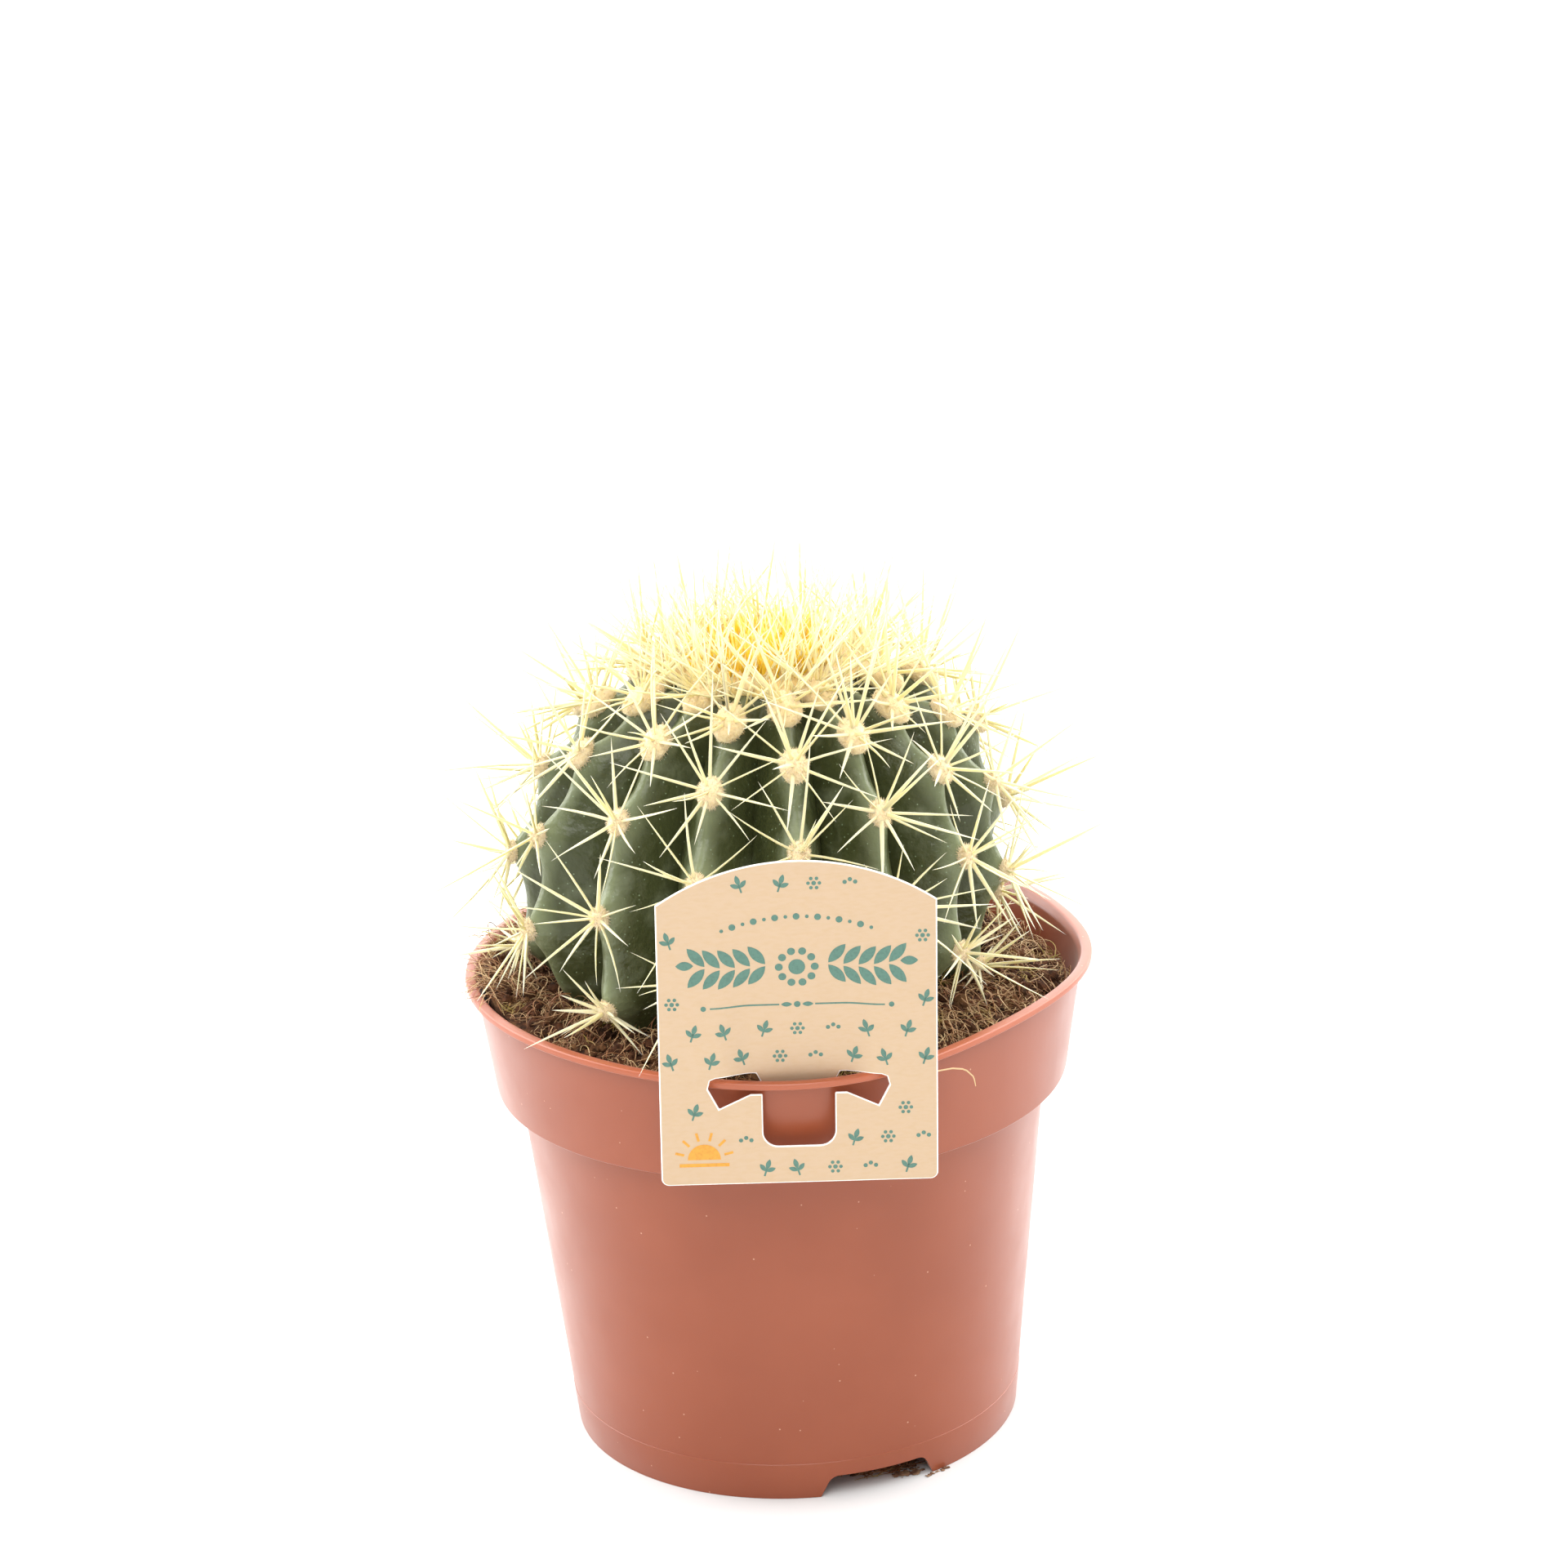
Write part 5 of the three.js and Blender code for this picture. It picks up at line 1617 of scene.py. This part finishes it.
def slice_for_bending(piece, label):
    """Cuts a flat piece into columns and rows, so that it can bend smoothly."""
    activate(piece)
    bpy.ops.object.mode_set(mode="EDIT")
    rows = np.arange(BEND_PITCH, label.side, BEND_PITCH)
    cuts = [((x, 0, 0), (1, 0, 0)) for x in BEND_COLUMNS]
    cuts += [((0, 0, z), (0, 0, 1)) for z in rows]
    for place, normal in cuts:
        bpy.ops.mesh.select_all(action="SELECT")
        bpy.ops.mesh.bisect(plane_co=place, plane_no=normal)
    bpy.ops.object.mode_set(mode="OBJECT")


def in_tongue(x, z):
    """Whether points of the card lie inside the die's cut round the tongue."""
    half, bottom = WINDOW_HALF - TONGUE_CUT / 2, WINDOW_BOTTOM + TONGUE_CUT / 2
    corner = WINDOW_CORNER - TONGUE_CUT / 2
    edge = np.interp(z, [SLOT_INNER[1], SLOT_TOP], [half, SLOT_TOP_ENDS[0] + TONGUE_CUT / 2])
    beside, below = x - half + corner, bottom + corner - z
    rounded_off = (beside > 0) & (below > 0) & (np.hypot(beside, below) > corner)
    return (x < edge) & (z < SLOT_TOP) & (z > bottom) & ~rounded_off


def bent_card(points, label):
    """Points of the flat card, bent round the rim, with its tongue behind the lip."""
    x, z = np.abs(points[:, 0]), points[:, 2]
    share = 1 - smooth(*BEND_SPAN, x)
    start, under, over = BEND_ROWS
    forward = -BEND_FORWARD * share * smooth(start, under, z)
    back = BEND_BACK * share * (1 - smooth(over, label.side, z))
    turn = smooth(under, over, z)
    bend = forward * (1 - turn) + back * turn
    tucked = BEND_BACK + TONGUE_SLANT * (SLOT_TOP - z)
    bent = points.copy()
    bent[:, 1] += np.where(in_tongue(x, z), tucked, bend)
    return bent


def hung(points):
    """Points of the card in its place on the rim."""
    turn = Matrix.Rotation(CARD_YAW, 3, "Z") @ Matrix.Rotation(CARD_ROLL, 3, "Y")
    return points @ np.array(turn).T + np.array(CARD_PLACE)


class CACTUS_OT_label(Operator):
    """Cuts the card label, bends it and hooks it on the rim"""

    bl_idname = "cactus.label"
    bl_label = "Label"

    def execute(self, context):
        label = context.scene.cactus_label
        half = label.thickness / 2
        piece = prism("plant_label", card_outline(label), -half, half)
        cutter = prism("slot", slot_outline(), -3 * half, 3 * half)
        cut_away(cutter, prism("tongue", tongue_outline(), -4 * half, 4 * half))
        cut_away(piece, cutter)
        piece.data.materials.append(kraft_print(label))
        piece.data.materials.append(white_board(label))
        for polygon in piece.data.polygons:
            polygon.material_index = 0 if polygon.normal.y < -0.9 else 1
        apply_modifier(
            piece,
            "BEVEL",
            width=label.edge,
            segments=2,
            limit_method="ANGLE",
            angle_limit=math.radians(60),
            material=1,
            offset_type="OFFSET",
        )
        slice_for_bending(piece, label)
        move_points(piece, lambda points: hung(bent_card(points, label)))
        finish_piece(piece, [], "label_card", 30)
        return {"FINISHED"}


def leaf(place, turn, reach, width):
    """A pointed leaf from its stalk, as an outline."""
    shares = np.linspace(0, 1, 9)
    bulge = np.sin(shares * math.pi) ** 0.8 * width / 2
    upper = np.stack([shares * reach, bulge], -1)
    lower = np.stack([shares * reach, -bulge], -1)[-2:0:-1]
    outline = np.concatenate([upper, lower])
    c, s = math.cos(turn), math.sin(turn)
    return outline @ np.array([[c, s], [-s, c]]) + place


def disc(place, radius, steps=14):
    """A round dot, as an outline."""
    return np.array(arc(place, radius, 0, 360, steps)[:-1])


def bar(start, end, width):
    """A straight stroke, as an outline."""
    start, end = np.array(start), np.array(end)
    pieces = max(1, int(np.linalg.norm(end - start) / (1.5 * MM)))
    along = np.linspace(0, 1, pieces + 1)[:, None]
    side = unit(end - start)[::-1] * [-1, 1] * width / 2
    line = start + (end - start) * along
    return np.concatenate([line - side, (line + side)[::-1]])


def sprig(place, turn, reach):
    """A twig with a pair of leaves and one at its end."""
    aim = np.array([math.cos(turn), math.sin(turn)])
    knot = place + aim * 0.3 * reach
    return [
        bar(place, knot + aim * 0.2 * reach, 0.1 * reach),
        leaf(knot, turn + 0.95, 0.55 * reach, 0.26 * reach),
        leaf(knot, turn - 0.95, 0.55 * reach, 0.26 * reach),
        leaf(knot + aim * 0.12 * reach, turn, 0.62 * reach, 0.28 * reach),
    ]


def drops(place, reach):
    """Three loose dots in an arc."""
    angles = [math.pi / 2 - 0.95, math.pi / 2, math.pi / 2 + 0.95]
    return [disc(place + reach * np.array([math.cos(a), math.sin(a)]), 0.34 * reach) for a in angles]


def flower(place, reach):
    """A round flower of six dots about a larger one."""
    angles = np.arange(6) * math.pi / 3
    petals = [disc(place + reach * np.array([math.cos(a), math.sin(a)]), 0.33 * reach) for a in angles]
    return [disc(place, 0.42 * reach), *petals]


def sun(place, radius):
    """A half sun over a line, with rays."""
    shapes = [np.array(arc(place, radius, 0, 180, 14))]
    for angle in range(15, 180, 30):
        aim = np.array([math.cos(math.radians(angle)), math.sin(math.radians(angle))])
        shapes.append(bar(place + aim * radius * 1.25, place + aim * radius * 1.8, radius * 0.16))
    low = np.array([0, -radius * 0.35])
    shapes.append(bar(place + low - [radius * 1.5, 0], place + low + [radius * 1.5, 0], radius * 0.22))
    return shapes


def has_room(x, z, label):
    """Whether a motif at x and z is on the card and clear of garland, sun, slot and window."""
    side, top = MOTIF_MARGIN
    arch = label.height - (label.height - label.side) * (2 * x / label.width) ** 2
    on_card = abs(x) < label.width / 2 - side and z < arch - top
    by_garland = 32 * MM < z < 54 * MM and abs(x) < 20.5 * MM
    by_sun = z < 13 * MM and x < -11 * MM
    by_slot = 14 * MM <= z < 23 * MM and abs(x) < 19 * MM
    by_window = 7 * MM < z < 14 * MM and abs(x) < 9.5 * MM
    return on_card and not (by_garland or by_sun or by_slot or by_window)


def small_motifs(label):
    """Sprigs, dots and flowers in staggered rows."""
    shapes = []
    for row, level in enumerate(MOTIF_LEVELS):
        for column in range(-4, 5):
            place = np.array([(column + row % 2 / 2) * MOTIF_PITCH, level])
            if not has_room(*place, label):
                continue
            kind = (3 * column + 2 * row) % 5
            if kind == 1:
                shapes += drops(place - [0, 0.6 * MM], 1.15 * MM)
            elif kind == 3:
                shapes += flower(place, 1.0 * MM)
            else:
                lean = 0.3 * (-1) ** column
                shapes += sprig(place - [0, 1.5 * MM], math.pi / 2 + lean, 3.3 * MM)
    return shapes


def garland():
    """Two bold laurel twigs that meet at a flower, with a dotted arch over them and a rule below."""
    centre = GARLAND_CENTRE
    rule = centre - [0, GARLAND_RULE]
    shapes = [disc(centre, 1.5 * MM, 20)]
    for angle in np.arange(10) * math.pi / 5:
        petal = centre + 3.2 * MM * np.array([math.cos(angle), math.sin(angle)])
        shapes.append(disc(petal, 0.72 * MM))
    for side in (-1, 1):
        outwards = 0 if side > 0 else math.pi
        for i in range(5):
            knot = centre + np.array([side * (5.6 + 2.7 * i), 0.12 * (i - 2) ** 2]) * MM
            shapes.append(leaf(knot + [0, 0.2 * MM], outwards + side * 0.85, 4.7 * MM, 1.9 * MM))
            shapes.append(leaf(knot - [0, 0.2 * MM], outwards - side * 0.85, 4.7 * MM, 1.9 * MM))
        shapes.append(leaf(centre + np.array([side * 18.4, 0.9]) * MM, outwards, 3.2 * MM, 1.7 * MM))
        shapes.append(bar(rule + [side * 3.2 * MM, 0], rule + [side * 15.6 * MM, 0], 0.3 * MM))
        shapes.append(disc(rule + [side * 16.8 * MM, 0], 0.5 * MM))
        shapes.append(leaf(rule + [side * 0.9 * MM, 0], outwards, 2 * MM, 0.9 * MM))
    shapes.append(disc(rule, 0.6 * MM))
    for i in range(-7, 8):
        radius = 0.34 * MM if i % 2 else 0.62 * MM
        shapes.append(disc(np.array([i * 1.9, 51.4 - 0.05 * i * i]) * MM, radius))
    return shapes


def print_piece(name, shapes, label):
    """Printed shapes as a thin film of ink on the card's face."""
    front, back = -label.thickness / 2 - FILM, -label.thickness / 2 + FILM
    mesh = bmesh.new()
    for outline in shapes:
        loops = [[mesh.verts.new((x, y, z)) for x, z in outline] for y in (front, back)]
        mesh.faces.new(loops[0])
        mesh.faces.new(loops[1][::-1])
        count = len(outline)
        for i in range(count):
            j = (i + 1) % count
            mesh.faces.new([loops[0][j], loops[0][i], loops[1][i], loops[1][j]])
    bmesh.ops.recalc_face_normals(mesh, faces=mesh.faces)
    bmesh.ops.triangulate(mesh, faces=mesh.faces)
    piece = mesh_piece(name, [], [])
    mesh.to_mesh(piece.data)
    mesh.free()
    move_points(piece, lambda points: hung(bent_card(points, label)))
    return piece


class CACTUS_OT_label_print(Operator):
    """Prints the label's face with plain leaf and sun motifs"""

    bl_idname = "cactus.label_print"
    bl_label = "Label print"

    def execute(self, context):
        label = context.scene.cactus_label
        leaves = print_piece("printed_leaves", small_motifs(label) + garland(), label)
        finish_piece(leaves, [ink("leaf_ink", tuple(label.ink))], "label_card")
        accent = print_piece("printed_sun", sun(SUN_PLACE, SUN_RADIUS), label)
        finish_piece(accent, [ink("sun_ink", tuple(label.accent))], "label_card")
        return {"FINISHED"}


# ---- stage ----


def set_camera():
    """The camera at the photograph's place, direction and field of view."""
    level = Vector((1, 0, 0))
    ahead = Vector((0, math.cos(CAMERA_PITCH), math.sin(CAMERA_PITCH)))
    above = level.cross(ahead)
    right = level * math.cos(CAMERA_ROLL) + above * math.sin(CAMERA_ROLL)
    up = -level * math.sin(CAMERA_ROLL) + above * math.cos(CAMERA_ROLL)
    lens = bpy.data.cameras.new("camera")
    lens.sensor_width = CAMERA_SENSOR
    lens.lens = CAMERA_LENS
    lens.clip_start, lens.clip_end = CAMERA_CLIP
    camera = bpy.data.objects.new("camera", lens)
    camera.matrix_world = Matrix((right, up, -ahead)).transposed().to_4x4()
    camera.location = CAMERA_PLACE
    bpy.context.scene.collection.objects.link(camera)
    bpy.context.scene.camera = camera


def add_softbox(name, place, size, power):
    """A square soft light that faces the plant."""
    light = bpy.data.lights.new(name, "AREA")
    light.shape = "SQUARE"
    light.size = size
    light.energy = power
    box = bpy.data.objects.new(name, light)
    box.location = place
    box.rotation_euler = (LIT_POINT - place).to_track_quat("-Z", "Y").to_euler()
    bpy.context.scene.collection.objects.link(box)


def white_studio(stage):
    """A white studio, overexposed behind the plant and dimmer where the camera stands."""
    world = bpy.data.worlds.new("white_studio")
    world.use_nodes = True
    tree = world.node_tree
    background = tree.nodes["Background"]
    towards = add_node(tree, "TexCoord")
    depth = add_node(tree, "SeparateXYZ", {"Vector": (towards, "Generated")})
    sky = {"From Min": -0.5, "From Max": 0.6, "To Min": stage.before, "To Max": stage.behind}
    sky["Value"] = (depth, "Y")
    glow = add_node(tree, "MapRange", sky, interpolation_type="SMOOTHSTEP")
    # Seen directly, the backdrop is plain white all round.
    ray = add_node(tree, "LightPath")
    seen = add_node(tree, "Mix", {"Factor": (ray, "Is Camera Ray"), "A": glow, "B": 1.0})
    set_sockets(background, {"Color": (1, 1, 1, 1), "Strength": seen})
    return world


class CACTUS_OT_stage(Operator):
    """Sets the white floor, the soft lights and the camera"""

    bl_idname = "cactus.stage"
    bl_label = "Stage"

    def execute(self, context):
        stage = context.scene.cactus_stage
        deselect_all()
        bpy.ops.mesh.primitive_plane_add(size=stage.floor_size)
        floor = context.object
        floor.name = "floor"
        floor.data.materials.append(matt_floor(stage))
        floor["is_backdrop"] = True
        add_softbox("key_light", KEY_PLACE, KEY_SIZE, stage.key)
        add_softbox("left_light", SIDE_PLACE * Vector((-1, 1, 1)), SIDE_SIZE, stage.sides)
        add_softbox("right_light", SIDE_PLACE, SIDE_SIZE, stage.sides)
        context.scene.world = white_studio(stage)
        context.scene.view_settings.view_transform = "Standard"
        set_camera()
        return {"FINISHED"}


# ---- panel ----

STEPS = (
    CACTUS_OT_stage,
    CACTUS_OT_pot,
    CACTUS_OT_compost,
    CACTUS_OT_stem,
    CACTUS_OT_areoles,
    CACTUS_OT_spines,
    CACTUS_OT_crown,
    CACTUS_OT_label,
    CACTUS_OT_label_print,
)
SETTINGS = {
    "cactus_pot": PotSettings,
    "cactus_compost": CompostSettings,
    "cactus_stem": StemSettings,
    "cactus_spines": SpineSettings,
    "cactus_crown": CrownSettings,
    "cactus_label": LabelSettings,
    "cactus_stage": StageSettings,
}


class CACTUS_PT_panel(Panel):
    """Lists the sizes and colours, and a button for each step"""

    bl_idname = "CACTUS_PT_panel"
    bl_label = "Potted Round Cactus"
    bl_space_type = "VIEW_3D"
    bl_region_type = "UI"
    bl_category = "Cactus"

    def draw(self, context):
        for key, group in SETTINGS.items():
            box = self.layout.box()
            for name in group.__annotations__:
                box.prop(getattr(context.scene, key), name)
        for step in STEPS:
            self.layout.operator(step.bl_idname)


def register():
    """Registers the settings, the operators and the panel."""
    for cls in (*SETTINGS.values(), *STEPS, CACTUS_PT_panel):
        bpy.utils.register_class(cls)
    for key, group in SETTINGS.items():
        setattr(bpy.types.Scene, key, PointerProperty(type=group))


def unregister():
    """Removes what register added."""
    for key in SETTINGS:
        delattr(bpy.types.Scene, key)
    for cls in (CACTUS_PT_panel, *reversed(STEPS), *reversed(SETTINGS.values())):
        bpy.utils.unregister_class(cls)


def main():
    """Builds everything."""
    register()
    for step in STEPS:
        category, name = step.bl_idname.split(".")
        getattr(getattr(bpy.ops, category), name)()
    boxes = {"cad": CAD_BOX, "visual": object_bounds()}
    plain = {key: [[float(x) for x in corner] for corner in box] for key, box in boxes.items()}


if __name__ == "__main__":
    main()
